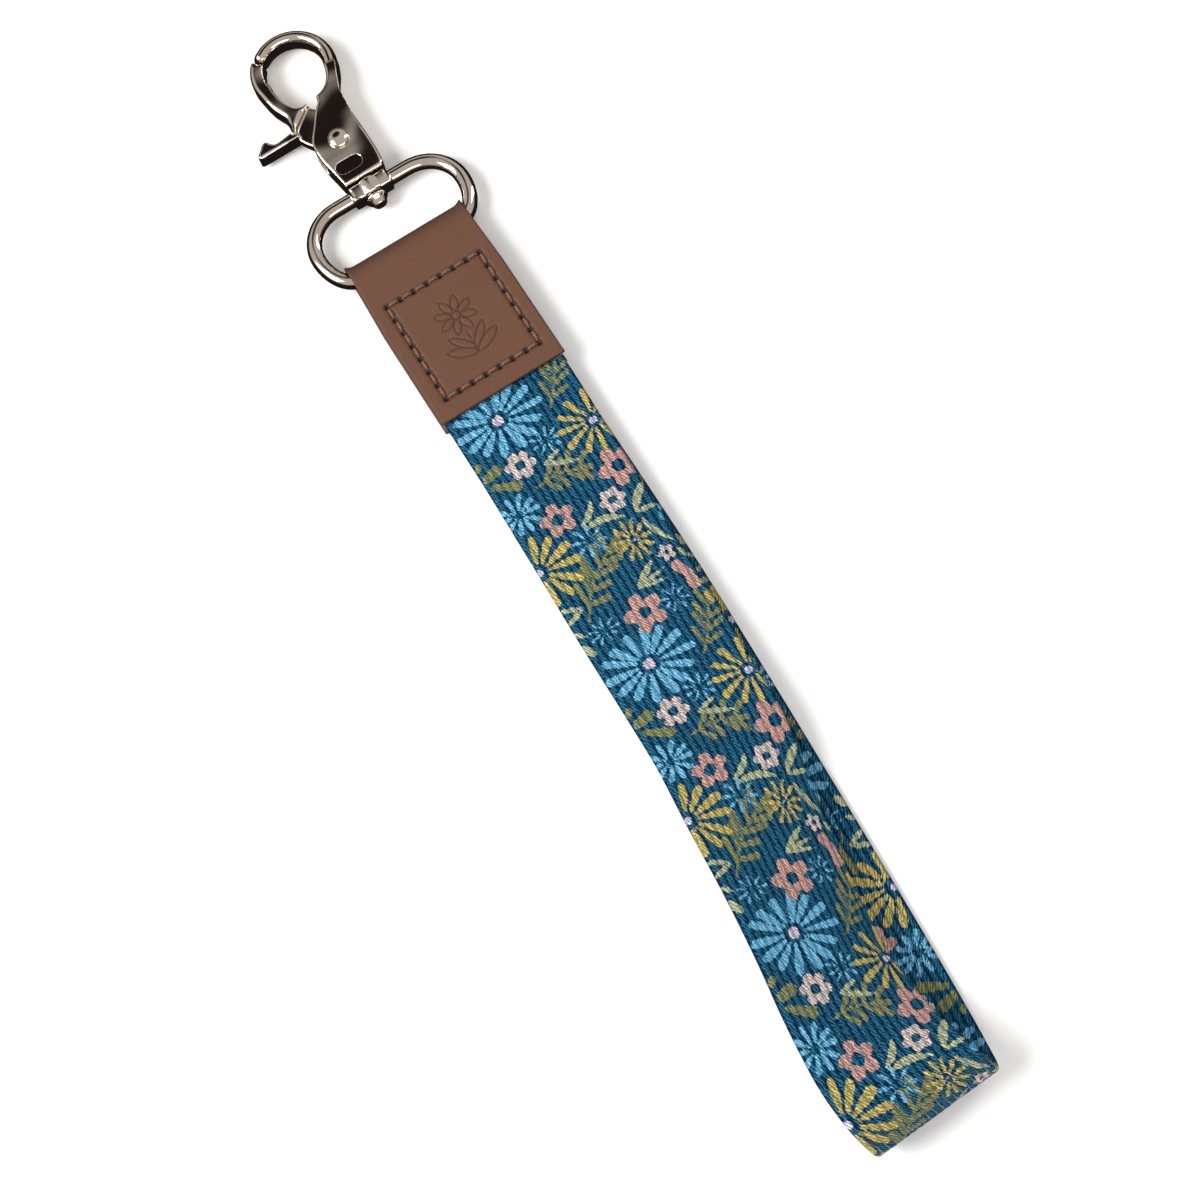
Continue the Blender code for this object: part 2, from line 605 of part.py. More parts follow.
def make_rivet(material):
    """The pivot rivet: domed head in front, shank, and a flush tail behind."""
    head = BODY_HIGH_Z + 0.2 * MM
    profile = [(RIVET_TAIL_RADIUS, 0.15 * MM), (RIVET_TAIL_RADIUS, 0.65 * MM), (RIVET_RADIUS, 0.65 * MM),
               (RIVET_RADIUS, head), (RIVET_HEAD_RADIUS, head)]
    for angle in np.radians(np.linspace(15.0, 80.0, 5)):
        profile.append((RIVET_HEAD_RADIUS * math.cos(angle), head + RIVET_DOME * math.sin(angle)))
    rivet = turned("pivot_rivet", profile, PIVOT, False, material)
    shade(rivet)
    return rivet


def main():
    """Build every piece."""
    clear_scene()
    printed = make_material("printed_webbing", (0.03, 0.13, 0.20), 0.85, 0.0)
    leather = make_material("brown_leather", (0.19, 0.09, 0.06), 0.6, 0.0)
    thread = make_material("copper_thread", (0.30, 0.12, 0.06), 0.7, 0.0)
    plated = make_material("light_gold_plate", (0.82, 0.70, 0.58), 0.12, 1.0)
    steel = make_material("spring_steel", (0.45, 0.45, 0.46), 0.3, 1.0)
    make_webbing(printed)
    make_leather(leather)
    make_thread("needle_thread", TAB_THICK - THREAD_SINK, thread)
    make_thread("bobbin_thread", THREAD_SINK, thread)
    make_ring(plated)
    make_pin(plated)
    make_hook_body(plated)
    make_gate(plated)
    make_spring(steel)
    make_rivet(plated)


main()
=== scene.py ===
"""The looks of a wristlet key chain: printed webbing, a stitched leather tab, an oval swivel
ring and a trigger hook, built around its CAD frame. Every length in the shape data is in
millimetres in the CAD's frame, and is made metres when a mesh is written.
"""
import math

import bpy
import numpy as np
from mathutils import Matrix


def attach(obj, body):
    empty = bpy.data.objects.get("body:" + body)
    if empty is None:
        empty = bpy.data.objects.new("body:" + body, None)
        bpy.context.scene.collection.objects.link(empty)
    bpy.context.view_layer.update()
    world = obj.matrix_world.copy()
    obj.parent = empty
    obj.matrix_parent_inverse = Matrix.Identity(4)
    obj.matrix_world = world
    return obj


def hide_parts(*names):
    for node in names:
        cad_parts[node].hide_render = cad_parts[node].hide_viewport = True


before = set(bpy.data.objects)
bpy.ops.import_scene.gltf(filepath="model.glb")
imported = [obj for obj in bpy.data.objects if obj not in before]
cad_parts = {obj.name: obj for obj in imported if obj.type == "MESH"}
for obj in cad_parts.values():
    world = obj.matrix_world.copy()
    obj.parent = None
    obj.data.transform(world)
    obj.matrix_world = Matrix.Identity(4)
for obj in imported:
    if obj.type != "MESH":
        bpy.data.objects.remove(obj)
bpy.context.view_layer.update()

bl_info = {
    "name": "Wristlet Key Chain",
    "version": (1, 0, 0),
    "blender": (4, 5, 0),
    "location": "View3D > Sidebar > Wristlet",
    "description": "Builds a printed wristlet key chain around its CAD frame",
    "category": "Object",
}

MM = 0.001
MID_Z = 2.85                        # the middle of the tab, the ring and the hook
FLOOR_HALF = 6.0                    # metres, as is the next
FLOOR_Z = -0.00005

# Stations along the middle of the strip, from one sewn end to the other: x, y, z in
# millimetres, then the roll that lowers the right edge and the turn towards the hook in degrees
STRIP_STATIONS = (
    (0.0, 10.0, 3.65, 0, 0), (0.0, -4.0, 3.65, 0, 0), (0.0, -18.0, 3.7, 0, 0),
    (-0.2, -30.0, 4.3, 2, 0), (-0.8, -50.0, 5.4, 5, -1), (-1.5, -70.0, 6.6, 7, -1.5),
    (-2.0, -88.0, 8.2, 10, -1.5), (-2.6, -99.0, 9.6, 13, -4), (-4.3, -110.5, 11.1, 21, -6),
    (-6.0, -124.0, 12.6, 27, -7), (-7.7, -137.0, 13.6, 29, -7), (-8.9, -147.0, 14.4, 26, -5),
    (-9.3, -156.0, 15.1, 19, -2), (-9.1, -160.5, 15.3, 13, 0), (-8.6, -164.5, 14.8, 8, 1.5),
    (-7.9, -167.7, 13.2, 4, 3), (-7.1, -169.9, 10.8, 1, 3.5), (-6.4, -171.1, 7.9, 0, 3.6),
    (-5.8, -170.9, 5.0, 0, 3), (-5.3, -169.2, 2.6, 0, 2), (-4.9, -166.2, 1.1, 0, 1),
    (-4.5, -162.0, 0.65, 0, 0), (-4.1, -156.0, 0.65, 0, -1), (-3.6, -148.0, 0.65, 0, -2),
    (-2.7, -131.0, 0.65, 0, -2.7), (-1.9, -114.0, 0.65, 0, -2.7), (-1.0, -94.0, 0.65, 0, -2),
    (-0.1, -68.0, 0.65, 0, -1), (0.1, -48.0, 0.8, 0, 0), (0.0, -32.0, 1.35, 0, 0),
    (0.0, -18.0, 2.0, 0, 0), (0.0, -4.0, 2.05, 0, 0), (0.0, 10.0, 2.05, 0, 0),
)
STATION_AFTER_FOLD = 21
STEPS_PER_STATION = 12
HIDDEN_LENGTH = 28.9                # of each end, in the tab
PRINT_REPEAT = 56.2
INSIDE_PRINT_SHIFT = 5.9
RIB_SWELL = 0.07
BEND_AT = 157.0                     # from the tab's edge to where the strip is folded
BEND_SPREAD = 4.0
FRONT_ROW_STEP = 0.36
BELOW_ROW_STEP = 0.56
SEWN_END = 27.0
OUTER_COLUMNS = 72
INNER_COLUMNS = 40
CURL_FROM = 3.0
CURL_OVER = 9.7
CURL_FULL_ROLL = 29.0
EDGE_CURL = 2.2

LEATHER_HALF_WIDTH = 13.3
FOLD_HALF_WIDTH = 12.75
LEATHER_THICK = 1.1
TAB_THICK = 5.7
TAB_END_Y = -18.9
LOWER_BAR_Y = 16.1
UPPER_BAR_Y = 31.28
LEATHER_COLUMNS = 131
FOLD_ROWS = 31
SOFT_EDGE = 0.35
STITCH_CENTRE = (0.1, -3.9)
STITCH_HALF = (10.1, 11.0)
STITCHES_PER_SIDE = 7
STITCH_INSET = 0.14
BACK_STITCH_LEVEL = 0.36            # keeps the back row's lowest point at the floor
RING_HALF_WIDTH = 15.87
LOWER_STRAIGHT_HALF = 11.0
UPPER_STRAIGHT_HALF = 8.0
WIRE_RADIUS = 1.5
EYE_CENTRE = (0.05, 61.3)
EYE_RADIUS = 7.2
EYE_HALF_WIRE = 1.43
PIVOT = (-0.15, 42.7)
PIVOT_HOLE = 1.3
LOW_CUT = -2.0                      # a cutter reaches from here
HIGH_CUT = 8.0                      # to here, past both faces of the hook
SHARP_EDGE = 0.05
NO_MOTIF = -9.0                     # deeper outside every motif than any point can be
STROKE = 0.24


# ---------------------------------------------------------------- curves and meshes

def smooth_path(points, steps):
    """A Catmull-Rom curve: between two knots, a cubic whose slopes come from their neighbours."""
    knots = np.asarray(points, dtype=float)
    padded = np.vstack([2 * knots[0] - knots[1], knots, 2 * knots[-1] - knots[-2]])
    before, start, end, after = (padded[i:i + len(knots) - 1][:, None] for i in range(4))
    t = np.linspace(0.0, 1.0, steps, endpoint=False)[None, :, None]
    curve = 0.5 * (2 * start + (end - before) * t + (2 * before - 5 * start + 4 * end - after) * t ** 2
                   + (3 * start - before - 3 * end + after) * t ** 3)
    return np.vstack([curve.reshape(-1, knots.shape[1]), knots[-1:]])


def arc(centre, radius, start, end, count):
    """Centre plus radius times the cosine and sine of evenly spaced angles, in degrees."""
    angles = np.radians(np.linspace(start, end, count))
    return np.column_stack([centre[0] + radius * np.cos(angles), centre[1] + radius * np.sin(angles)])


def resample(line, count):
    """The same polyline at points evenly spaced along its length."""
    steps = np.linalg.norm(np.diff(line, axis=0), axis=1)
    travelled = np.concatenate([[0.0], np.cumsum(steps)])
    even = np.linspace(0.0, travelled[-1], count)
    return np.column_stack([np.interp(even, travelled, line[:, i]) for i in range(line.shape[1])])


def unit(vectors):
    """Vectors divided by their lengths."""
    return vectors / np.linalg.norm(vectors, axis=-1, keepdims=True)


def skin(rings, closed=False):
    """Rings of points joined ring to ring by quads; open ends are closed by one face each.

    Gives the points, the corners of all faces in a row and each face's count of corners. The
    signed volume, a sum of scalar triple products, says whether to turn the faces round.
    """
    rows, columns, _ = rings.shape
    points = rings.reshape(-1, 3)
    row = np.arange(rows if closed else rows - 1)[:, None]
    column = np.arange(columns)[None, :]
    next_row = (row + 1) % rows
    next_column = (column + 1) % columns
    quads = np.stack([row * columns + column, row * columns + next_column,
                      next_row * columns + next_column, next_row * columns + column], axis=-1)
    quads = quads.reshape(-1, 4)
    corners = points[quads] - points.mean(axis=0)
    volume = np.einsum("ij,ij->", corners[:, 0], np.cross(corners[:, 1], corners[:, 2])
                       + np.cross(corners[:, 2], corners[:, 3]))
    caps = [] if closed else [np.arange(columns)[::-1], np.arange((rows - 1) * columns, rows * columns)]
    if volume < 0:
        quads = quads[:, ::-1]
        caps = [cap[::-1] for cap in caps]
    counts = np.concatenate([np.full(len(quads), 4), [len(cap) for cap in caps]]).astype(np.int32)
    return points, np.concatenate([quads.ravel()] + caps), counts


def mesh_from(name, parts):
    """A mesh in metres from skins in millimetres, shaded smooth."""
    starts = np.cumsum([0] + [len(points) for points, _, _ in parts])
    points = np.vstack([points for points, _, _ in parts]) * MM
    corners = np.concatenate([part[1] + start for part, start in zip(parts, starts)]).astype(np.int32)
    counts = np.concatenate([counts for _, _, counts in parts])
    mesh = bpy.data.meshes.new(name)
    mesh.vertices.add(len(points))
    mesh.vertices.foreach_set("co", points.astype(np.float32).ravel())
    mesh.loops.add(len(corners))
    mesh.loops.foreach_set("vertex_index", corners)
    mesh.polygons.add(len(counts))
    mesh.polygons.foreach_set("loop_start", (np.cumsum(counts) - counts).astype(np.int32))
    mesh.update(calc_edges=True)
    if mesh.validate():
        raise RuntimeError("the mesh of %s has broken faces" % name)
    mesh.shade_smooth()
    return mesh


def linked(name, data):
    """A new object in the scene."""
    obj = bpy.data.objects.new(name, data)
    bpy.context.scene.collection.objects.link(obj)
    return obj


def place(name, mesh, material, body, slot, *nodes):
    """Put a finished mesh in the scene as the piece that stands for the nodes."""
    piece = linked(name, mesh)
    mesh.materials.clear()
    mesh.materials.append(material)
    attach(piece, body)
    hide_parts(*nodes)
    return piece


def set_uv(mesh, name, values):
    """A UV map from one pair of numbers per vertex."""
    corner = np.empty(len(mesh.loops), dtype=np.int32)
    mesh.loops.foreach_get("vertex_index", corner)
    layer = mesh.uv_layers.new(name=name)
    layer.data.foreach_set("uv", np.asarray(values, dtype=np.float32)[corner].ravel())


def set_number(mesh, name, values):
    """A number per vertex, stored as an attribute."""
    layer = mesh.attributes.new(name, "FLOAT", "POINT")
    layer.data.foreach_set("value", np.asarray(values, dtype=np.float32).ravel())


def pillow(outline, low, high, edge, steps=4):
    """A plate with rounded edges: the outline drawn in along its normals by a quarter circle."""
    line = resample(np.vstack([outline, outline[:1]]), max(60, len(outline) * 3))[:-1]
    around = np.roll(line, -1, axis=0) - np.roll(line, 1, axis=0)
    normal = unit(np.column_stack([around[:, 1], -around[:, 0]]))
    area = np.sum(line[:, 0] * np.roll(line[:, 1], -1) - np.roll(line[:, 0], -1) * line[:, 1])
    normal *= np.sign(area)
    angle = np.linspace(0.0, math.pi / 2, steps + 1)
    inset = edge * (1 - np.sin(angle))
    rise = edge * (1 - np.cos(angle))
    levels = np.concatenate([low + rise, (high - rise)[::-1]])
    insets = np.concatenate([inset, inset[::-1]])
    rings = np.zeros((len(levels), len(line), 3))
    rings[:, :, :2] = line[None] - insets[:, None, None] * normal[None]
    rings[:, :, 2] = levels[:, None]
    return skin(rings)


def oval_sweep(line, half_width, half_depth, fullness, middle_z, sides=28, power=2.3):
    """A superellipse carried along a line in the plane, scaled by fullness at each point."""
    tangent = unit(np.gradient(line, axis=0))
    outward = np.column_stack([-tangent[:, 1], tangent[:, 0]])
    turn = 2 * math.pi * np.arange(sides) / sides
    wide = np.sign(np.cos(turn)) * np.abs(np.cos(turn)) ** (2 / power)
    deep = np.sign(np.sin(turn)) * np.abs(np.sin(turn)) ** (2 / power)
    rings = np.zeros((len(line), sides, 3))
    reach = half_width * fullness[:, None] * wide[None]
    rings[:, :, :2] = line[:, None] + outward[:, None] * reach[:, :, None]
    rings[:, :, 2] = middle_z + half_depth * fullness[:, None] * deep[None]
    return skin(rings)


def turned(profile, centre, along_y=False, sides=48):
    """A profile of (radius, height) pairs turned round +Z, or +Y where along_y is true."""
    profile = np.asarray(profile, dtype=float)
    turn = 2 * math.pi * np.arange(sides) / sides
    across = profile[:, :1] * np.cos(turn)[None]
    aside = profile[:, :1] * np.sin(turn)[None]
    height = np.repeat(profile[:, 1:], sides, axis=1)
    if along_y:
        rings = np.stack([centre[0] + across, height, centre[1] + aside], axis=2)
    else:
        rings = np.stack([centre[0] + across, centre[1] + aside, height], axis=2)
    return skin(rings)


def evaluated_mesh(obj):
    """The mesh that an object's modifiers give."""
    bpy.context.view_layer.update()
    graph = bpy.context.evaluated_depsgraph_get()
    return bpy.data.meshes.new_from_object(obj.evaluated_get(graph))


def cut(part, cutters):
    """A skin with others cut out of it."""
    body = linked("cut_body", mesh_from("cut_body", [part]))
    tools = []
    for index, cutter in enumerate(cutters):
        tool = linked("cutter", mesh_from("cutter", [cutter]))
        tools.append(tool)
        modifier = body.modifiers.new("cut%d" % index, "BOOLEAN")
        modifier.operation = "DIFFERENCE"
        modifier.solver = "EXACT"
        modifier.object = tool
    mesh = evaluated_mesh(body)
    points = np.empty(len(mesh.vertices) * 3)
    mesh.vertices.foreach_get("co", points)
    corners = np.empty(len(mesh.loops), dtype=np.int32)
    mesh.loops.foreach_get("vertex_index", corners)
    counts = np.empty(len(mesh.polygons), dtype=np.int32)
    mesh.polygons.foreach_get("loop_total", counts)
    for obj in [body] + tools:
        bpy.data.objects.remove(obj, do_unlink=True)
    return points.reshape(-1, 3) / MM, corners, counts


def cast(name, parts, voxel, relax):
    """Melt overlapping skins into one casting: a fine remesh, then smoothing fills the creases."""
    melt = linked(name + "_melt", mesh_from(name + "_melt", parts))
    remesh = melt.modifiers.new("remesh", "REMESH")
    remesh.mode = "VOXEL"
    remesh.voxel_size = voxel * MM
    ease = melt.modifiers.new("ease", "SMOOTH")
    ease.factor = 0.5
    ease.iterations = relax
    mesh = evaluated_mesh(melt)
    bpy.data.objects.remove(melt, do_unlink=True)
    if not mesh.polygons:
        raise RuntimeError("the casting of %s came out empty" % name)
    mesh.name = name
    mesh.shade_smooth()
    return mesh


# ---------------------------------------------------------------- the printed pattern

def capsule(p, a, b, start_radius, end_radius):
    """How far inside a tapered rounded stroke: its radius at the nearest point less the distance."""
    a = np.asarray(a, dtype=float)
    along = np.asarray(b, dtype=float) - a
    t = np.clip(((p - a) @ along) / (along @ along), 0.0, 1.0)
    near = np.linalg.norm(p - a - t[:, None] * along, axis=1)
    return start_radius + (end_radius - start_radius) * t - near


def lens(p, a, b, half_width, bend=0.0):
    """How far inside a leaf pointed at both ends, whose middle line bows by bend."""
    a = np.asarray(a, dtype=float)
    along = np.asarray(b, dtype=float) - a
    length = np.linalg.norm(along)
    along /= length
    side = np.array([-along[1], along[0]])
    t = ((p - a) @ along) / length
    arch = 4 * t * (1 - t)
    off = np.abs((p - a) @ side - bend * arch)
    inside = half_width * np.clip(arch, 0.0, None) ** 0.8 - off
    beyond = np.minimum(t, 1 - t) * length
    return np.minimum(inside, beyond + 0.05)


def stretched(p, centre, squeeze):
    """Points seen from a centre, with the second direction stretched by 1 / squeeze."""
    return (p - np.asarray(centre)) / np.array([1.0, squeeze])


def daisy(p, centre, reach, petals, petal_width, turn=0.0, squeeze=1.0, inner=0.25, seed=0):
    """Separate club-shaped petals round a bare ring."""
    local = stretched(p, centre, squeeze)
    wobble = np.random.default_rng(seed)
    best = np.full(len(p), NO_MOTIF)
    for angle in math.radians(turn) + 2 * math.pi * np.arange(petals) / petals:
        angle += wobble.uniform(-0.06, 0.06)
        length = reach * wobble.uniform(0.92, 1.04)
        width = petal_width * wobble.uniform(0.88, 1.1)
        way = np.array([math.cos(angle), math.sin(angle)])
        middle = way * (0.4 * reach * inner + 0.6 * (length - width))
        best = np.maximum(best, capsule(local, way * reach * inner, middle, width * 0.35, width * 0.95))
        best = np.maximum(best, capsule(local, middle, way * (length - width), width * 0.95, width))
    return best


def blossom(p, centre, reach, hole, petals=5, turn=0.0):
    """Round petals that meet round a bare disc."""
    local = p - np.asarray(centre)
    best = reach * 0.62 - np.linalg.norm(local, axis=1)
    for angle in math.radians(turn) + 2 * math.pi * np.arange(petals) / petals:
        way = np.array([math.cos(angle), math.sin(angle)])
        petal = capsule(local, way * reach * 0.3, way * reach * 0.68, reach * 0.27, reach * 0.31)
        best = np.maximum(best, petal)
    return np.minimum(best, np.linalg.norm(local, axis=1) - hole)


def sprig(p, root, tip, bend, pairs, leaf, leaf_width, angle=50.0, seed=0):
    """A bowed stem with rounded leaves on both sides and one at its tip."""
    wobble = np.random.default_rng(seed)
    root = np.asarray(root, dtype=float)
    along = np.asarray(tip, dtype=float) - root
    length = np.linalg.norm(along)
    along /= length
    side = np.array([-along[1], along[0]])
    best = np.full(len(p), NO_MOTIF)
    stem = [root + along * length * t + side * bend * 4 * t * (1 - t) for t in np.linspace(0, 1, 7)]
    for first, second in zip(stem, stem[1:]):
        best = np.maximum(best, capsule(p, first, second, STROKE, STROKE))
    for t in np.linspace(0.18, 0.86, pairs):
        foot = root + along * length * t + side * bend * 4 * t * (1 - t)
        for hand in (-1, 1):
            swing = math.radians(angle * wobble.uniform(0.85, 1.15)) * hand
            way = along * math.cos(swing) + side * math.sin(swing)
            reach = leaf * wobble.uniform(0.85, 1.1)
            blade = capsule(p, foot + way * 0.5, foot + way * reach, leaf_width * 0.6, leaf_width)
            best = np.maximum(best, blade)
    return np.maximum(best, capsule(p, stem[-2], stem[-1] + along * leaf * 0.3, 0.3, leaf_width))


def print_inks(p):
    """For each ink, how far inside its motifs each point of the repeat lies, in millimetres."""
    def best(*shapes):
        return np.maximum.reduce(shapes)
    inks = {}
    inks["ink_blue"] = best(
        daisy(p, (8.6, 4.8), 8.8, 14, 0.84, 4, 0.84, 0.27, 1),
        daisy(p, (14.2, 13.1), 3.1, 9, 0.27, 10, 0.9, 0.3, 2),
        daisy(p, (2.6, 23.6), 4.6, 10, 0.5, 5, 0.95, 0.22, 3),
        daisy(p, (11.2, 34.7), 3.4, 8, 0.3, 15, 1.0, 0.3, 4),
        daisy(p, (4.9, 51.4), 3.1, 9, 0.27, 0, 0.85, 0.3, 5),
        daisy(p, (18.9, 52.0), 2.9, 8, 0.27, 20, 0.95, 0.3, 6),
        capsule(p, (25.2, 36.4), (25.2, 37.4), 0.5, 0.5))
    inks["ink_yellow"] = best(
        daisy(p, (23.6, 14.3), 7.0, 12, 0.62, 8, 0.95, 0.24, 7),
        daisy(p, (0.3, 35.6), 8.0, 13, 0.8, 8, 0.98, 0.26, 8),
        daisy(p, (18.2, 38.6), 3.6, 11, 0.34, 0, 1.18, 0.25, 9),
        capsule(p, (25.2, 55.6), (24.6, 54.3), 0.6, 0.7))
    inks["ink_pink"] = best(
        blossom(p, (23.2, 24.4), 4.2, 1.3, 5, -110),
        blossom(p, (8.3, 28.1), 3.5, 1.2, 5, -92),
        blossom(p, (13.0, 51.9), 4.0, 1.15, 5, -100),
        capsule(p, (22.6, 46.8), (23.7, 49.4), 1.1, 0.8), capsule(p, (23.7, 49.2), (23.6, 51.2), 0.85, 1.15))
    inks["ink_cream"] = best(
        blossom(p, (7.7, 14.9), 3.0, 0.95, 6, 15),
        blossom(p, (18.8, 29.8), 2.6, 0.8, 6, 0),
        blossom(p, (22.2, 43.6), 1.75, 0.5, 5, 45))
    inks["ink_olive"] = best(
        sprig(p, (18.0, 8.0), (24.4, -1.5), 0.5, 4, 3.7, 0.56, 44, 11),
        sprig(p, (18.0, 64.2), (24.4, 54.7), 0.5, 4, 3.7, 0.56, 44, 11),
        capsule(p, (1.2, 14.0), (3.4, 13.4), 0.9, 1.1), capsule(p, (1.4, 16.2), (5.2, 18.2), 0.6, 1.05),
        capsule(p, (0.4, 11.4), (1.0, 11.0), 0.6, 0.7),
        sprig(p, (8.2, 20.6), (17.6, 21.8), -1.0, 4, 3.4, 0.58, 54, 12),
        sprig(p, (3.6, 48.4), (15.0, 37.4), -1.6, 5, 4.1, 0.7, 44, 13))
    inks["ink_pale"] = best(
        lens(p, (11.4, 17.2), (15.7, 15.8), 0.42), lens(p, (11.4, 17.2), (17.7, 19.8), 0.48),
        lens(p, (16.6, 16.9), (18.6, 17.3), 0.3),
        lens(p, (11.2, 31.6), (15.3, 27.7), 0.62, 0.6), lens(p, (11.4, 32.5), (19.2, 33.8), 0.72, -0.9),
        lens(p, (21.3, 34.0), (25.6, 29.2), 0.8, -0.4), lens(p, (21.3, 34.1), (25.8, 34.3), 0.5),
        lens(p, (21.6, 35.6), (24.6, 42.2), 0.55, 0.4),
        lens(p, (14.2, 47.2), (19.1, 43.6), 0.6), lens(p, (14.2, 47.3), (20.3, 46.0), 0.4),
        lens(p, (14.3, 47.4), (20.0, 48.0), 0.36),
        lens(p, (-0.6, 44.0), (3.6, 45.6), 0.5), lens(p, (-0.6, 47.4), (3.6, 45.8), 0.5),
        lens(p, (-0.4, 49.0), (1.7, 51.0), 0.4), lens(p, (-0.4, 51.8), (1.6, 55.0), 0.75),
        lens(p, (24.3, 43.8), (26.2, 46.5), 0.6), lens(p, (24.2, 51.0), (26.5, 52.5), 0.5))
    inks["ink_centre"] = best(*(radius - np.linalg.norm(p - np.array([x, y]), axis=1) for x, y, radius in (
        (8.6, 4.8, 1.05), (23.6, 14.3, 0.7), (0.3, 35.6, 0.7), (18.2, 38.6, 0.3))))
    return inks


def print_on(across, along):
    """The inks at places on the strip; the pattern repeats along it."""
    folded = np.mod(along, PRINT_REPEAT)
    total = None
    for shift in (0.0, PRINT_REPEAT, -PRINT_REPEAT):
        inks = print_inks(np.column_stack([across, folded + shift]))
        total = inks if total is None else {key: np.maximum(total[key], inks[key]) for key in inks}
    return total


# ---------------------------------------------------------------- shader building

def add(tree, kind, inputs=None, **settings):
    """A node with its settings, and each input linked or set."""
    node = tree.nodes.new(kind)
    for key, value in settings.items():
        setattr(node, key, value)
    for key, value in (inputs or {}).items():
        if isinstance(value, bpy.types.NodeSocket):
            tree.links.new(value, node.inputs[key])
        else:
            node.inputs[key].default_value = value
    return node


def calc(tree, operation, first, second=0.0):
    """One arithmetic step."""
    return add(tree, "ShaderNodeMath", {0: first, 1: second}, operation=operation).outputs[0]


def plus(tree, first, second):
    """The sum of two values."""
    return calc(tree, "ADD", first, second)


def minus(tree, first, second):
    """The first value less the second."""
    return calc(tree, "SUBTRACT", first, second)


def times(tree, first, second):
    """The product of two values."""
    return calc(tree, "MULTIPLY", first, second)


def blend_colour(tree, share, first, second, mode="MIX"):
    """A mix of two colours."""
    node = add(tree, "ShaderNodeMix", {0: share, 6: first, 7: second}, data_type="RGBA", blend_type=mode)
    return node.outputs[2]


def ramp(tree, value, low, high):
    """Nought below low, one above high, smooth between."""
    node = add(tree, "ShaderNodeMapRange", {0: value, 1: low, 2: high}, interpolation_type="SMOOTHSTEP")
    return node.outputs[0]


def rgba(colour, share=1.0):
    """A colour, or a share of its brightness, with full alpha."""
    return (colour[0] * share, colour[1] * share, colour[2] * share, 1.0)


def stored(tree, name):
    """A number that the piece stores at each vertex."""
    return add(tree, "ShaderNodeAttribute", attribute_name=name).outputs["Fac"]


def object_place(tree):
    """The place on the piece, in metres."""
    return add(tree, "ShaderNodeTexCoord").outputs["Object"]


def raise_surface(tree, shader, height, strength, distance):
    """A bump of a height, at most distance metres tall."""
    bump = add(tree, "ShaderNodeBump", {"Strength": strength, "Distance": distance, "Height": height})
    tree.links.new(bump.outputs[0], shader.inputs["Normal"])


def new_group(name, inputs, outputs):
    """An empty shader group with named sockets."""
    group = bpy.data.node_groups.new(name, "ShaderNodeTree")
    for label, kind, value in inputs:
        socket = group.interface.new_socket(label, in_out="INPUT", socket_type=kind)
        if value is not None:
            socket.default_value = value
    for label, kind in outputs:
        group.interface.new_socket(label, in_out="OUTPUT", socket_type=kind)
    return group, group.nodes.new("NodeGroupInput"), group.nodes.new("NodeGroupOutput")


def mottle_group():
    """Soft cloudy variation and fine grain, for every finish."""
    if "Mottle" in bpy.data.node_groups:
        return bpy.data.node_groups["Mottle"]
    group, given, result = new_group(
        "Mottle",
        (("Place", "NodeSocketVector", None), ("Cloud Scale", "NodeSocketFloat", 300.0),
         ("Grain Scale", "NodeSocketFloat", 3000.0)),
        (("Cloud", "NodeSocketFloat"), ("Grain", "NodeSocketFloat")))
    spot = given.outputs["Place"]
    cloud_scale = given.outputs["Cloud Scale"]
    grain_scale = given.outputs["Grain Scale"]
    cloud = add(group, "ShaderNodeTexNoise", {"Vector": spot, "Scale": cloud_scale, "Detail": 4.0})
    grain = add(group, "ShaderNodeTexNoise", {"Vector": spot, "Scale": grain_scale, "Detail": 3.0,
                                              "Roughness": 0.6})
    group.links.new(cloud.outputs[0], result.inputs["Cloud"])
    group.links.new(grain.outputs[0], result.inputs["Grain"])
    return group


def mottle(tree, place_socket, cloud_scale, grain_scale):
    """The mottle group placed in a material."""
    node = add(tree, "ShaderNodeGroup", node_tree=mottle_group())
    tree.links.new(place_socket, node.inputs["Place"])
    node.inputs["Cloud Scale"].default_value = cloud_scale
    node.inputs["Grain Scale"].default_value = grain_scale
    return node.outputs["Cloud"], node.outputs["Grain"]


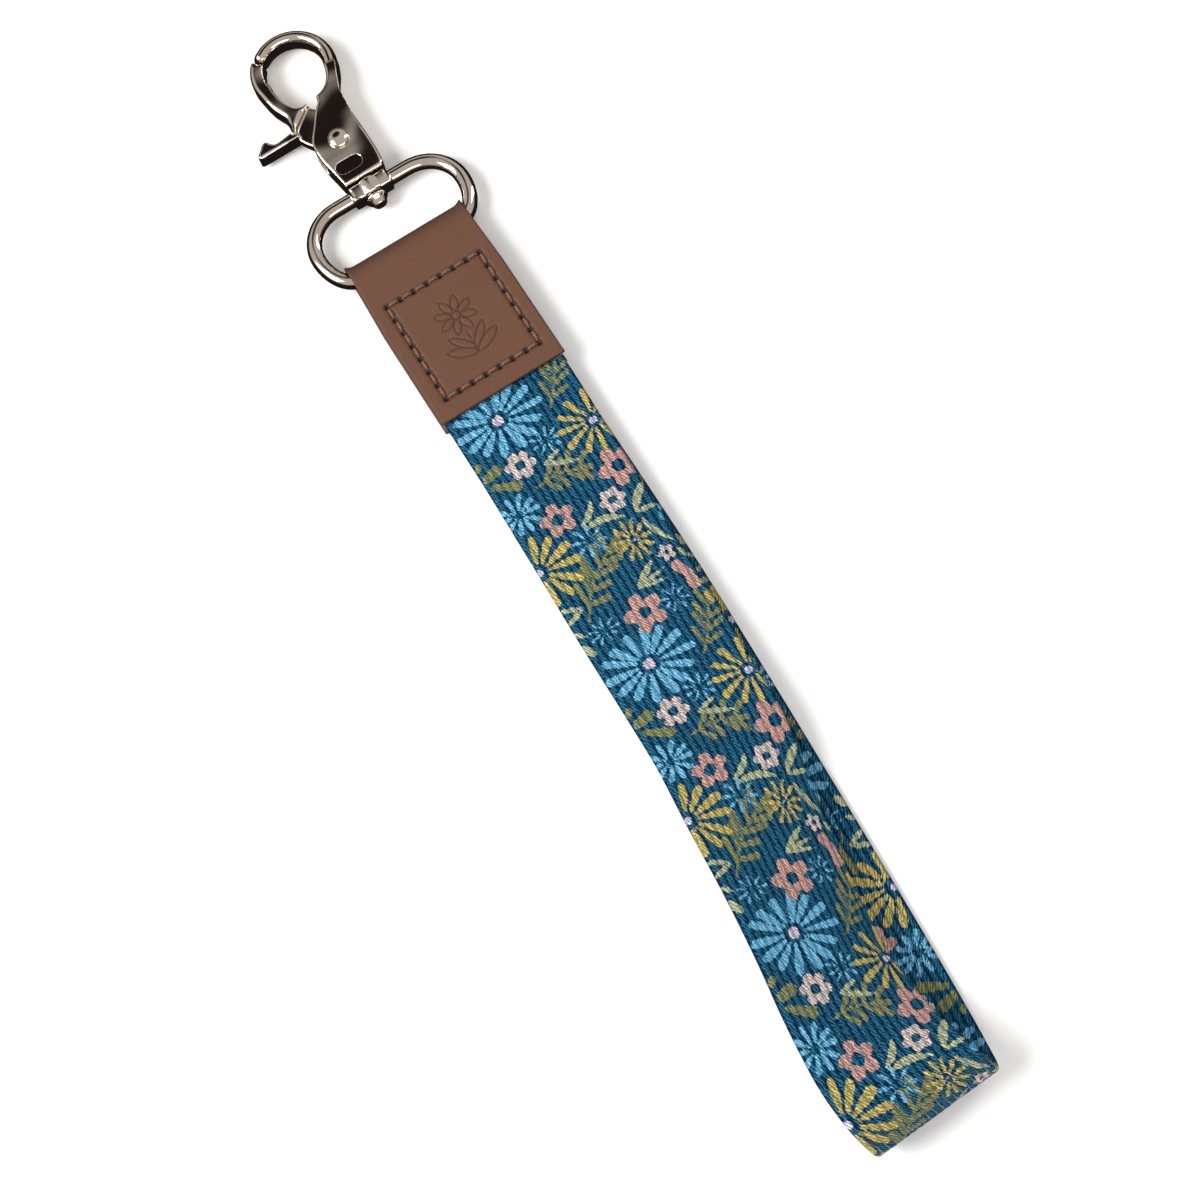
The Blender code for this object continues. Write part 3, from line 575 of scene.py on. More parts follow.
def weave_group():
    """Lengthwise ribs of short steep strands, in the strip's own millimetres.

    A strand's phase is the distance along less the slope times the distance across, over the
    pitch; its height is a power of the phase's sine, lower towards the edges of its rib.
    """
    group, given, result = new_group(
        "Ribbed Weave",
        (("Across", "NodeSocketFloat", 0.0), ("Along", "NodeSocketFloat", 0.0),
         ("Rib Pitch", "NodeSocketFloat", 1.4), ("Strand Pitch", "NodeSocketFloat", 1.15),
         ("Slope", "NodeSocketFloat", 2.0)),
        (("Height", "NodeSocketFloat"), ("Fray", "NodeSocketFloat"), ("Gap", "NodeSocketFloat"),
         ("Seam", "NodeSocketFloat")))
    flat = add(group, "ShaderNodeCombineXYZ", {0: given.outputs["Across"], 1: given.outputs["Along"]})
    warp = add(group, "ShaderNodeTexNoise", {"Vector": flat.outputs[0], "Scale": 0.8, "Detail": 2.0})
    wander = add(group, "ShaderNodeSeparateColor", {0: warp.outputs[1]})
    across = plus(group, given.outputs["Across"],
                  times(group, minus(group, wander.outputs[0], 0.5), 0.7))
    along = plus(group, given.outputs["Along"],
                 times(group, minus(group, wander.outputs[1], 0.5), 2.6))
    ribs = calc(group, "DIVIDE", across, given.outputs["Rib Pitch"])
    cell = calc(group, "FLOOR", ribs)
    inside = calc(group, "FRACT", ribs)
    crest = calc(group, "SINE", times(group, inside, math.pi))
    lean = times(group, times(group, inside, given.outputs["Rib Pitch"]),
                given.outputs["Slope"])
    phase = calc(group, "DIVIDE", minus(group, along, lean), given.outputs["Strand Pitch"])
    phase = plus(group, phase, times(group, cell, 0.37))
    strand = calc(group, "ABSOLUTE", calc(group, "SINE", times(group, phase, math.pi)))
    fibre = add(group, "ShaderNodeTexNoise", {"Vector": flat.outputs[0], "Scale": 2.2, "Detail": 4.0,
                                              "Roughness": 0.7})
    tuft = minus(group, fibre.outputs[0], 0.5)
    strand_top = plus(group, times(group, calc(group, "POWER", strand, 0.7), 0.72), 0.28)
    rib_top = plus(group, times(group, calc(group, "POWER", crest, 0.7), 0.6), 0.4)
    height = plus(group, times(group, rib_top, strand_top), times(group, tuft, 1.0))
    fray = plus(group, times(group, minus(group, height, 0.6), 0.2),
                times(group, tuft, 0.3))
    gap = minus(group, 1.0, ramp(group, height, 0.42, 1.0))
    seam = minus(group, 1.0, ramp(group, crest, 0.05, 0.5))
    for label, value in (("Height", height), ("Fray", fray), ("Gap", gap), ("Seam", seam)):
        group.links.new(value, result.inputs[label])
    return group


def new_material(name):
    """A material with a Principled shader, its tree and its shader."""
    material = bpy.data.materials.new(name)
    material.use_nodes = True
    return material, material.node_tree, material.node_tree.nodes["Principled BSDF"]


def webbing_material(look):
    """Ribbed polyester with inks thresholded from the print's distances, with painted shade between the
    yarns.
    """
    material, tree, shader = new_material("printed_webbing_weave")
    cloth = add(tree, "ShaderNodeUVMap", uv_map="cloth")
    parts = add(tree, "ShaderNodeSeparateXYZ", {0: cloth.outputs[0]})
    weave = add(tree, "ShaderNodeGroup", node_tree=weave_group())
    tree.links.new(parts.outputs[0], weave.inputs["Across"])
    tree.links.new(parts.outputs[1], weave.inputs["Along"])
    weave.inputs["Rib Pitch"].default_value = look.rib_pitch / MM
    weave.inputs["Strand Pitch"].default_value = look.strand_pitch / MM
    weave.inputs["Slope"].default_value = math.tan(look.strand_lean)
    colour = rgba(look.ground_colour)
    inked = 0.0
    inks = (("ink_olive", look.olive_colour), ("ink_pale", look.pale_colour), ("ink_blue", look.blue_colour),
            ("ink_yellow", look.yellow_colour), ("ink_cream", look.cream_colour),
            ("ink_pink", look.pink_colour), ("ink_centre", look.centre_colour))
    for name, ink in inks:
        covered = ramp(tree, plus(tree, stored(tree, name), weave.outputs["Fray"]), -0.1, 0.1)
        colour = blend_colour(tree, covered, colour, rgba(ink))
        inked = calc(tree, "MAXIMUM", inked, covered)
    cloud, grain = mottle(tree, object_place(tree), 260.0, 3600.0)
    # painted shade between the yarns: the gaps are multiplied by the bare or the ink shade colour
    shade = blend_colour(tree, inked, rgba(look.bare_shade), rgba(look.ink_shade))
    shade = blend_colour(tree, 1.0, colour, shade, "MULTIPLY")
    opened = stored(tree, "opened")
    colour = blend_colour(tree, weave.outputs["Gap"], colour, shade)
    colour = blend_colour(tree, times(tree, opened, weave.outputs["Seam"]), colour,
                          rgba(look.yarn_colour))
    bright = plus(tree, 0.2, times(tree, grain, 1.6))
    tint = add(tree, "ShaderNodeCombineColor", {0: bright, 1: bright, 2: bright})
    colour = blend_colour(tree, 1.0, colour, tint.outputs[0], "MULTIPLY")
    tree.links.new(colour, shader.inputs["Base Color"])
    rough = plus(tree, 0.7, times(tree, cloud, 0.2))
    tree.links.new(rough, shader.inputs["Roughness"])
    shader.inputs["Specular IOR Level"].default_value = 0.05
    raise_surface(tree, shader, weave.outputs["Height"], 1.0, 0.00035)
    return material


def leather_material(look):
    """Fine pebbled grain, cloudy colour, darker in the debossed lines and towards the edges, with painted
    shade round the fold and in the stitch holes and groove.
    """
    material, tree, shader = new_material("brown_leather_grain")
    spot = object_place(tree)
    cloud, grain = mottle(tree, spot, 90.0, 4200.0)
    pebble = add(tree, "ShaderNodeTexVoronoi", {"Vector": spot, "Scale": 2600.0}, feature="DISTANCE_TO_EDGE")
    pores = ramp(tree, pebble.outputs[0], 0.0, 0.22)
    pressed = stored(tree, "pressed")
    fold_shade = stored(tree, "fold_shade")
    colour = blend_colour(tree, cloud, rgba(look.leather_colour), rgba(look.leather_colour, 1.18))
    colour = blend_colour(tree, times(tree, minus(tree, 1.0, pores), 0.3), colour,
                          rgba(look.leather_colour, 0.5))
    # the stamp and the rim darker; painted shade in the stitch holes and along the groove
    colour = blend_colour(tree, times(tree, pressed, 0.85), colour, rgba(look.pressed_and_shade_colour))
    # painted shade round the fold
    colour = blend_colour(tree, times(tree, fold_shade, 0.6), colour, rgba(look.pressed_and_shade_colour))
    # painted shade: the stitch holes are made nearly black
    hole_shade = stored(tree, "hole_shade")
    colour = blend_colour(tree, hole_shade, colour, rgba(look.pressed_and_shade_colour, 0.12))
    tree.links.new(colour, shader.inputs["Base Color"])
    tree.links.new(plus(tree, 0.5, times(tree, grain, 0.2)), shader.inputs["Roughness"])
    shader.inputs["Specular IOR Level"].default_value = 0.35
    height = plus(tree, times(tree, pores, 0.5), times(tree, grain, 0.6))
    raise_surface(tree, shader, height, 0.35, 0.00008)
    return material


def thread_material(look):
    """Twisted thread: slanting plies from the piece's own map, with painted shade between them."""
    material, tree, shader = new_material("twisted_thread")
    run = add(tree, "ShaderNodeSeparateXYZ", {0: add(tree, "ShaderNodeUVMap", uv_map="ply").outputs[0]})
    phase = plus(tree, times(tree, run.outputs[0], 3.0), times(tree, run.outputs[1], 2.6))
    ply = calc(tree, "ABSOLUTE", calc(tree, "SINE", times(tree, phase, math.pi)))
    cloud, grain = mottle(tree, object_place(tree), 700.0, 9000.0)
    # painted shade between the plies
    colour = blend_colour(tree, ramp(tree, ply, 0.0, 0.7), rgba(look.thread_colour, 0.3),
                          rgba(look.thread_colour))
    colour = blend_colour(tree, times(tree, cloud, 0.5), colour, rgba(look.thread_colour, 0.6))
    tree.links.new(colour, shader.inputs["Base Color"])
    tree.links.new(plus(tree, 0.45, times(tree, grain, 0.25)), shader.inputs["Roughness"])
    shader.inputs["Sheen Weight"].default_value = 0.2
    raise_surface(tree, shader, ply, 0.8, 0.00012)
    return material


def metal_material(name, colour, roughness):
    """Polished plating: a little cloud in its colour and gloss, and the slow unevenness of a casting."""
    material, tree, shader = new_material(name)
    spot = object_place(tree)
    cloud, grain = mottle(tree, spot, 420.0, 6000.0)
    tone = blend_colour(tree, cloud, rgba(colour), rgba(colour, 0.88))
    tree.links.new(tone, shader.inputs["Base Color"])
    shader.inputs["Metallic"].default_value = 1.0
    gloss = plus(tree, roughness, times(tree, grain, 0.05))
    tree.links.new(gloss, shader.inputs["Roughness"])
    swell = add(tree, "ShaderNodeTexNoise", {"Vector": spot, "Scale": 150.0, "Detail": 0.0}).outputs[0]
    raise_surface(tree, shader, swell, 0.35, 0.0012)
    return material


def plating(look):
    """The plating that the ring and the hook share."""
    name = "light_gold_plating"
    return bpy.data.materials.get(name) or metal_material(name, look.plate_colour, look.plate_roughness)


# ---------------------------------------------------------------- the strap

def strip_rows():
    """Distances along the strip at which it has a row: fine in front, coarser where hidden or below."""
    dense = smooth_path(STRIP_STATIONS, STEPS_PER_STATION)
    travelled = np.concatenate([[0.0], np.cumsum(np.linalg.norm(np.diff(dense[:, :3], axis=0), axis=1))])
    folded = travelled[STATION_AFTER_FOLD * STEPS_PER_STATION]
    end = travelled[-1]
    rows = np.concatenate([np.arange(0.0, SEWN_END, 2.0), np.arange(SEWN_END, folded, FRONT_ROW_STEP),
                           np.arange(folded, end - SEWN_END, BELOW_ROW_STEP),
                           np.linspace(end - SEWN_END, end, 14)])
    return dense, travelled, rows


def strip_section(width, thick, rib_pitch):
    """The strip's cross-section: places across it, places through it, and +1 outside, -1 inside.

    Flat faces are joined by half circles; both faces swell and dip with the ribs.
    """
    radius = thick / 2
    flat = width / 2 - radius
    outside = np.linspace(-flat, flat, OUTER_COLUMNS)
    inside = np.linspace(flat, -flat, INNER_COLUMNS)
    bend = np.radians(np.linspace(90, -90, 7)[1:-1])
    across = np.concatenate([outside, flat + radius * np.cos(bend), inside, -flat - radius * np.cos(bend)])
    through = np.concatenate([np.full(OUTER_COLUMNS, radius), radius * np.sin(bend),
                              np.full(INNER_COLUMNS, -radius), -radius * np.sin(bend)])
    face = np.concatenate([np.ones(OUTER_COLUMNS + 2), np.zeros(1), -np.ones(INNER_COLUMNS + 4), np.zeros(1),
                           np.ones(2)])
    swell = RIB_SWELL * (np.abs(np.sin(math.pi * (across + width / 2) / rib_pitch)) - 0.6)
    through = through + np.where(np.abs(through) >= radius, np.sign(through) * swell, 0.0)
    return across, through, face


def build_webbing(look):
    """The strip: its cross-section carried along its line, with the print stored on its skin.

    The inside carries the same print turned end for end.
    """
    width = look.web_width / MM
    thick = look.web_thickness / MM
    dense, travelled, rows = strip_rows()
    line = np.column_stack([np.interp(rows, travelled, dense[:, i]) for i in range(5)])
    slope = np.gradient(dense[:, :3], axis=0)
    tangent = unit(np.column_stack([np.interp(rows, travelled, slope[:, i]) for i in range(3)]))
    roll = np.radians(line[:, 3])
    turn = np.radians(line[:, 4])
    sideways = np.column_stack([np.cos(roll) * np.cos(turn), np.cos(roll) * np.sin(turn), -np.sin(roll)])
    outward = unit(np.cross(tangent, sideways))
    across, through, face = strip_section(width, thick, look.rib_pitch / MM)
    towards_edge = np.clip((across - CURL_FROM) / CURL_OVER, 0.0, 1.0)[None]
    curl = towards_edge ** 2 * np.clip(line[:, 3:4] / CURL_FULL_ROLL, 0.0, 1.0) * EDGE_CURL
    rings = (line[:, None, :3] + across[None, :, None] * sideways[:, None]
             + (through[None] - curl)[:, :, None] * outward[:, None])
    mesh = mesh_from("webbing_strap_woven", [skin(rings)])
    side = np.tile(face, len(rows))
    place_across = np.tile(across + width / 2, len(rows))
    place_along = np.repeat(rows - HIDDEN_LENGTH, len(across))
    set_uv(mesh, "cloth", np.column_stack([place_across, place_along + 100.0]))
    outside = print_on(place_across, place_along)
    inside = print_on(width - place_across, place_along + INSIDE_PRINT_SHIFT)
    for name in outside:
        set_number(mesh, name, np.clip(np.where(side < 0, inside[name], outside[name]), -2.0, 2.0))
    past_bend = (place_along - BEND_AT) / BEND_SPREAD
    set_number(mesh, "opened", np.where(side > 0, 0.7 * np.exp(-past_bend ** 2), 0.0))
    piece = place("webbing_strap_woven", mesh, webbing_material(look), "strap", "printed_webbing",
                  "webbing_strap")


# ---------------------------------------------------------------- the leather tab

def stitch_holes():
    """The corners of the stitches round the box, in order."""
    x, y = STITCH_CENTRE
    half_x, half_y = STITCH_HALF
    share = np.linspace(-1.0, 1.0, STITCHES_PER_SIDE + 1)[:-1]
    still = np.ones(STITCHES_PER_SIDE)
    sides = ((share, still), (still, -share), (-share, -still), (-still, share))
    return np.vstack([np.column_stack([x + half_x * right, y + half_y * up]) for right, up in sides])


def emblem(p):
    """A line-drawn flower on a leafy stem: how far inside its drawn lines each point lies."""
    line = 0.14
    best = np.full(len(p), NO_MOTIF)
    for angle in np.radians(np.arange(8) * 45.0 + 22.5):
        way = np.array([math.cos(angle), math.sin(angle)])
        petal = lens(p, np.array([0.0, 2.4]) + way * 0.9, np.array([0.0, 2.4]) + way * 4.1, 0.72)
        best = np.maximum(best, line - np.abs(petal))
    best = np.maximum(best, line - np.abs(np.linalg.norm(p - [0.0, 2.4], axis=1) - 0.8))
    best = np.maximum(best, capsule(p, (0.0, -1.9), (0.0, -6.4), line, line))
    for side in (-1, 1):
        for foot, tip, width in ((-6.2, -3.6, 0.95), (-5.2, -1.2, 0.8)):
            leaf = lens(p, (0.0, foot), (side * 4.6 * (1.15 if foot < -6 else 0.8), tip), width)
            best = np.maximum(best, line - np.abs(leaf))
    return best


def leather_run():
    """The rows: along the front, half a circle round the bar and back, with each one's way out."""
    front = np.arange(TAB_END_Y, LOWER_BAR_Y, 0.2)
    back = np.linspace(LOWER_BAR_Y, TAB_END_Y, 70)[1:]
    angles = np.radians(np.linspace(90, -90, FOLD_ROWS))
    along = np.concatenate([front, np.full(FOLD_ROWS, LOWER_BAR_Y), back])
    forward = np.concatenate([np.zeros(len(front)), np.cos(angles), np.zeros(len(back))])
    upward = np.concatenate([np.ones(len(front)), np.sin(angles), -np.ones(len(back))])
    return along, forward, upward


def leather_section():
    """The columns: across the outer face, round an edge, back inside and round the other edge.

    Gives each one's place across from -1 to 1, its depth from 0 outside to 1 inside, and how
    far the rounded edge bulges sideways there.
    """
    face = np.linspace(-1.0, 1.0, LEATHER_COLUMNS)
    inner = face[::-13][:10]
    edge = np.radians(np.linspace(90, -90, 7)[1:-1])
    side = np.concatenate([face, np.ones(5), inner, -np.ones(5)])
    depth = np.concatenate([np.zeros(LEATHER_COLUMNS), 0.5 - 0.5 * np.sin(edge), np.ones(10),
                            0.5 + 0.5 * np.sin(edge)])
    bulge = np.concatenate([np.zeros(LEATHER_COLUMNS), SOFT_EDGE * np.cos(edge), np.zeros(10),
                            -SOFT_EDGE * np.cos(edge)])
    return side, depth, bulge


def leather_press(flat, outer, on_front):
    """How far the thread, its holes and the stamp press in the leather, how dark it is (a darker stamp,
    painted shade in the holes and along the groove), and the holes.

    The groove is a bell of the distance to the seam's line, and a hole a flat-topped bell of
    the distance to the nearest hole. The stamp steps up where the emblem's lines begin.
    """
    gap = np.abs(np.maximum(np.abs(flat[:, 0] - STITCH_CENTRE[0]) - STITCH_HALF[0],
                            np.abs(flat[:, 1] - STITCH_CENTRE[1]) - STITCH_HALF[1]))
    groove = np.exp(-(gap / 0.62) ** 2)
    near_hole = np.min(np.linalg.norm(flat[:, None] - stitch_holes()[None], axis=2), axis=1)
    hole = np.exp(-(near_hole / 0.6) ** 4)
    stamp = np.clip(emblem(flat - np.array(STITCH_CENTRE)) / 0.16 + 0.5, 0.0, 1.0)
    stamp = np.where(on_front, stamp, 0.0)
    press = np.where(outer, 0.22 * groove + 0.45 * hole + 0.2 * stamp, 0.0)
    # the stamp is darker; the holes and the groove get painted shade
    dark = np.where(outer, np.maximum(stamp, np.maximum(hole, 0.35 * groove)), 0.0)
    return press, dark, np.where(outer, hole, 0.0)


def build_leather(look):
    """The folded strip: its section carried round the fold, pressed by stitches and stamp.

    It narrows and thins towards the fold's corners, which curl up, and its ends are rounded.
    """
    along, forward, upward = leather_run()
    side, depth, bulge = leather_section()
    narrowing = np.clip((along - 4) / (LOWER_BAR_Y - 4), 0.0, 1.0)[:, None]
    half = LEATHER_HALF_WIDTH + (FOLD_HALF_WIDTH - LEATHER_HALF_WIDTH) * narrowing
    x = side[None] * (half - SOFT_EDGE) + bulge[None]
    beyond = np.clip((np.abs(x) - LOWER_STRAIGHT_HALF) / (FOLD_HALF_WIDTH - LOWER_STRAIGHT_HALF), 0.0, 1.0)
    nearness = np.clip((along - 12.0) / 1.4, 0.0, 1.0)[:, None]
    thick = LEATHER_THICK - nearness * np.sin(beyond * math.pi / 2) * 0.6
    row = np.arange(len(along))
    end = np.clip(np.minimum(row, row[::-1]) / 3.0, 0.0, 1.0)[:, None]
    rounding = 0.28 * (1 - np.sqrt(1 - (1 - end) ** 2))
    reach = TAB_THICK / 2 - depth[None] * thick - rounding * (1 - 2 * depth[None])
    curl = 0.8 * beyond ** 2 * np.clip((along - 10) / 6, 0.0, 1.0)[:, None]
    y = along[:, None] + forward[:, None] * reach + curl
    outer = ((depth == 0)[None] & (np.abs(upward) > 0.999)[:, None]).ravel()
    on_front = np.repeat(upward, len(side)) > 0.5
    press, dark, hole = leather_press(np.column_stack([x.ravel(), y.ravel()]), outer, on_front)
    z = MID_Z + upward[:, None] * (reach - press.reshape(reach.shape))
    mesh = mesh_from("leather_tab_grained", [skin(np.stack([x, y, z], axis=2))])
    # darker towards the edges, stored with the darker stamp and the painted shade of holes and groove
    rim = np.clip((np.abs(x) - (half - 0.5)) / 0.5, 0.0, 1.0) * 0.5
    set_number(mesh, "pressed", np.maximum(dark, rim.ravel()))
    # painted shade, darker towards the fold
    set_number(mesh, "fold_shade", np.clip((y - 14.5) / 3.5, 0.0, 1.0))
    # painted shade in the stitch holes
    set_number(mesh, "hole_shade", hole)
    piece = place("leather_tab_grained", mesh, leather_material(look), "strap", "brown_leather",
                  "leather_tab")


def build_stitches(look, name, node, surface, way, material):
    """One stitch between each two holes: a two-ply rope bowed over the leather and dipping at its ends."""
    holes = stitch_holes()
    ends = np.roll(holes, -1, axis=0)
    share = np.linspace(0.0, 1.0, 17)
    sides = 14
    turn = 2 * math.pi * np.arange(sides) / sides
    parts = []
    maps = []
    for start, end in zip(holes, ends):
        way_along = (end - start) / np.linalg.norm(end - start)
        aside = np.array([-way_along[1], way_along[0]])
        line = start + (end - start) * (STITCH_INSET + (1 - 2 * STITCH_INSET) * share[:, None])
        rise = surface + way * (look.thread_lift / MM * (1 - np.abs(2 * share - 1) ** 4) - 0.38)
        full = np.sqrt(np.clip(1 - np.abs(2 * share - 1) ** 6, 0.05, 1.0))
        twist = 2.2 * math.pi * share
        radius = look.thread_width / MM / 2 * full[:, None] * (
            1 + 0.12 * np.cos(2 * (turn[None] - twist[:, None])))
        rings = np.zeros((len(share), sides, 3))
        rings[:, :, :2] = line[:, None] + aside[None, None] * (radius * np.cos(turn)[None])[:, :, None]
        rings[:, :, 2] = rise[:, None] + radius * np.sin(turn)[None] * 0.85
        parts.append(skin(rings))
        ply = np.stack(np.broadcast_arrays(share[:, None], turn[None] / (2 * math.pi)), axis=2)
        maps.append(ply.reshape(-1, 2))
    mesh = mesh_from(name, parts)
    set_uv(mesh, "ply", np.vstack(maps))
    place(name, mesh, material, "strap", "copper_thread", node)


# ---------------------------------------------------------------- the metal

def ring_line(count):
    """Two straight bars joined by quarters of ellipses, evenly spaced."""
    middle = (LOWER_BAR_Y + UPPER_BAR_Y) / 2
    tall = (UPPER_BAR_Y - LOWER_BAR_Y) / 2
    angle = np.radians(np.linspace(-90.0, 90.0, 61))
    straight = np.where(angle < 0, LOWER_STRAIGHT_HALF, UPPER_STRAIGHT_HALF)
    right = np.column_stack([straight + (RING_HALF_WIDTH - straight) * np.cos(angle),
                             middle + tall * np.sin(angle)])
    left = right[::-1] * np.array([-1.0, 1.0])
    loop = np.vstack([right, left, right[:1]])
    return resample(loop, count + 1)[:-1]


def build_ring(material, voxel):
    """A round wire along the oval, melted into a squared boss with an upright barrel."""
    line = ring_line(220)
    tangent = unit(np.roll(line, -1, axis=0) - np.roll(line, 1, axis=0))
    outward = np.column_stack([tangent[:, 1], -tangent[:, 0]])
    turn = 2 * math.pi * np.arange(32) / 32
    rings = np.zeros((len(line), 32, 3))
    rings[:, :, :2] = line[:, None] + outward[:, None] * (WIRE_RADIUS * np.cos(turn))[None, :, None]
    rings[:, :, 2] = MID_Z + WIRE_RADIUS * np.sin(turn)[None]
    block = np.array([(-4.13, 29.6), (4.13, 29.6), (4.13, 33.0), (-4.13, 33.0)])
    block = resample(np.vstack([block, block[:1]]), 61)[:-1]
    boss = pillow(block, MID_Z - 2.05, MID_Z + 2.05, 0.7)
    barrel = turned([(0.4, 29.53), (2.2, 29.53), (2.6, 29.9), (2.6, 32.65), (2.2, 33.02), (0.4, 33.02)],
                    (0.0, MID_Z), True)
    mesh = cast("oval_ring_plated", [skin(rings, closed=True), boss, barrel], voxel, 4)
    place("oval_ring_plated", mesh, material, "ring", "light_gold_plate", "oval_ring")


def build_pin(material):
    """The swivel pin's rounded head and its shank."""
    head = smooth_path([(0.15, 27.1), (0.8, 27.13), (1.2, 27.28), (1.45, 27.65), (1.7, 28.15), (2.1, 28.6),
                        (2.3, 28.95), (2.15, 29.22), (1.5, 29.28)], 6)
    mesh = mesh_from("swivel_pin_plated", [turned(np.vstack([head, [(1.0, 29.32), (1.0, 34.8), (0.6, 35.0)]]),
                                                  (0.0, MID_Z), True)])
    place("swivel_pin_plated", mesh, material, "hook", "light_gold_plate", "swivel_pin")


def build_rivet(material):
    """The pivot rivet: a low dome in front, a flush disc behind."""
    angle = np.radians(np.linspace(4, 88, 26))
    dome = [(2.05 * math.cos(a), 5.85 + 0.78 * math.sin(a)) for a in angle]
    tail = [(1.2, 0.15), (1.5, 0.17), (1.6, 0.25), (1.6, 0.65)]
    shank = [(1.0, 0.66), (1.0, 5.75), (1.95, 5.78)]
    mesh = mesh_from("pivot_rivet_plated", [turned(tail + shank + dome, PIVOT)])
    place("pivot_rivet_plated", mesh, material, "hook", "light_gold_plate", "pivot_rivet")


def drill(radius, low, high):
    """A cutter for a round hole on the pivot's axis."""
    return turned([(radius, low), (radius, high)], PIVOT)


def body_outline():
    """The hook body's plate, from the base up the right side and down the gate's side."""
    right = smooth_path([(4.15, 33.35), (4.75, 34.6), (5.0, 38.5), (4.93, 44.0), (4.95, 50.0), (5.5, 53.4),
                         (6.85, 56.0), (7.95, 58.3)], 6)
    inner = smooth_path([(5.35, 58.5), (4.8, 56.5), (3.5, 54.6), (1.9, 53.6), (0.75, 53.3)], 6)
    left = smooth_path([(-0.45, 51.1), (-1.75, 49.5), (-3.0, 47.7), (-4.3, 45.9), (-5.15, 44.2), (-5.3, 42.0),
                        (-5.15, 39.5), (-4.7, 36.8), (-4.15, 33.35)], 6)
    return np.vstack([right, inner, [(0.3, 51.8)], left])


def build_hook_body(material, voxel):
    """The casting: a rounded plate with its channel, slot and holes, melted into the eye's arm."""
    plate = pillow(body_outline(), 0.1, 5.6, 0.5)
    room = np.array([(3.6, 39.0), (3.6, 46.0), (2.6, 49.6), (1.1, 54.5), (-9.0, 54.5), (-9.0, 39.0)])
    channel = pillow(room, 1.35, 4.35, SHARP_EDGE, 1)
    slot = np.vstack([arc((0.15, 36.85), 1.35, -90, 90, 17), arc((-2.55, 36.85), 1.35, 90, 270, 17)])
    holes = [channel, pillow(slot, LOW_CUT, HIGH_CUT, SHARP_EDGE, 1), drill(PIVOT_HOLE, LOW_CUT, HIGH_CUT),
             drill(1.9, LOW_CUT, 0.95)]
    plate = cut(plate, holes)
    over = arc(EYE_CENTRE, EYE_RADIUS, 133, -8, 60)
    down = smooth_path([over[-1], (6.62, 58.0), (5.75, 56.0), (4.3, 53.9), (3.6, 52.4)], 8)
    line = resample(np.vstack([over, down[1:]]), 120)
    full = np.ones(120)
    full[:4] = (0.72, 0.86, 0.94, 0.98)
    full[-6:] = np.linspace(1.0, 0.75, 6)
    arm = oval_sweep(line, EYE_HALF_WIRE, 2.3, full, MID_Z)
    mesh = cast("hook_body_plated", [plate, arm], voxel, 4)
    place("hook_body_plated", mesh, material, "hook", "light_gold_plate", "hook_body")


def build_gate(material, voxel):
    """The trigger: a rounded finger closing the eye, a hub between the cheeks and a thumb lever."""
    outer = arc(EYE_CENTRE, EYE_RADIUS + EYE_HALF_WIRE, 137, 188, 20)
    outer_low = smooth_path([(-8.2, 57.7), (-7.75, 55.6), (-7.1, 54.0), (-6.6, 52.6), (-6.75, 50.8),
                             (-6.9, 48.6)], 5)
    step = smooth_path([(-6.5, 48.4), (-5.5, 49.65), (-3.95, 50.95), (-2.55, 52.05), (-1.35, 52.75)], 5)
    inner_low = smooth_path([(-2.4, 53.15), (-3.6, 53.5), (-4.5, 54.7), (-5.25, 56.6), (-5.6, 58.6)], 5)
    inner = arc(EYE_CENTRE, EYE_RADIUS - EYE_HALF_WIRE, 187, 137, 20)
    finger = pillow(np.vstack([outer, outer_low, step, inner_low, inner]), 0.7, 5.0, 1.0, 6)
    hub_round = arc(PIVOT, 3.4, -170, 10, 30)
    web = smooth_path([(2.7, 45.2), (1.7, 48.0), (0.2, 50.6), (-1.7, 52.7)], 5)
    left = smooth_path([(-4.5, 51.6), (-6.9, 49.3), (-6.6, 47.9), (-5.9, 46.3), (-4.8, 44.6)], 5)
    hub = pillow(np.vstack([hub_round, web, left]), 1.65, 4.05, 0.2)
    spring_room = np.array([(-1.65, 37.7), (4.85, 37.7), (4.85, 42.7), (-1.65, 42.7)])
    hub = cut(hub, [drill(PIVOT_HOLE, LOW_CUT, HIGH_CUT), drill(2.4, 2.55, HIGH_CUT),
                    pillow(spring_room, 2.55, HIGH_CUT, SHARP_EDGE, 1)])
    thumb = np.vstack([[(-6.0, 47.8), (-6.2, 49.6)], smooth_path([
        (-7.6, 49.6), (-10.4, 49.2), (-11.4, 49.6), (-12.1, 50.6), (-13.0, 50.6), (-14.0, 49.7),
        (-14.9, 48.8), (-15.1, 48.2), (-14.7, 47.8)], 6)])
    lever = pillow(thumb, 0.9, 4.8, 0.6)
    mesh = cast("trigger_gate_plated", [finger, hub, lever], voxel, 3)
    place("trigger_gate_plated", mesh, material, "gate", "light_gold_plate", "trigger_gate")


# ---------------------------------------------------------------- stage

def standing(right, up, backward, stand):
    """The matrix of a thing at a place whose own axes point right, up and backward."""
    matrix = np.identity(4)
    matrix[:3] = np.column_stack([right, up, backward, stand])
    return Matrix(matrix.tolist())


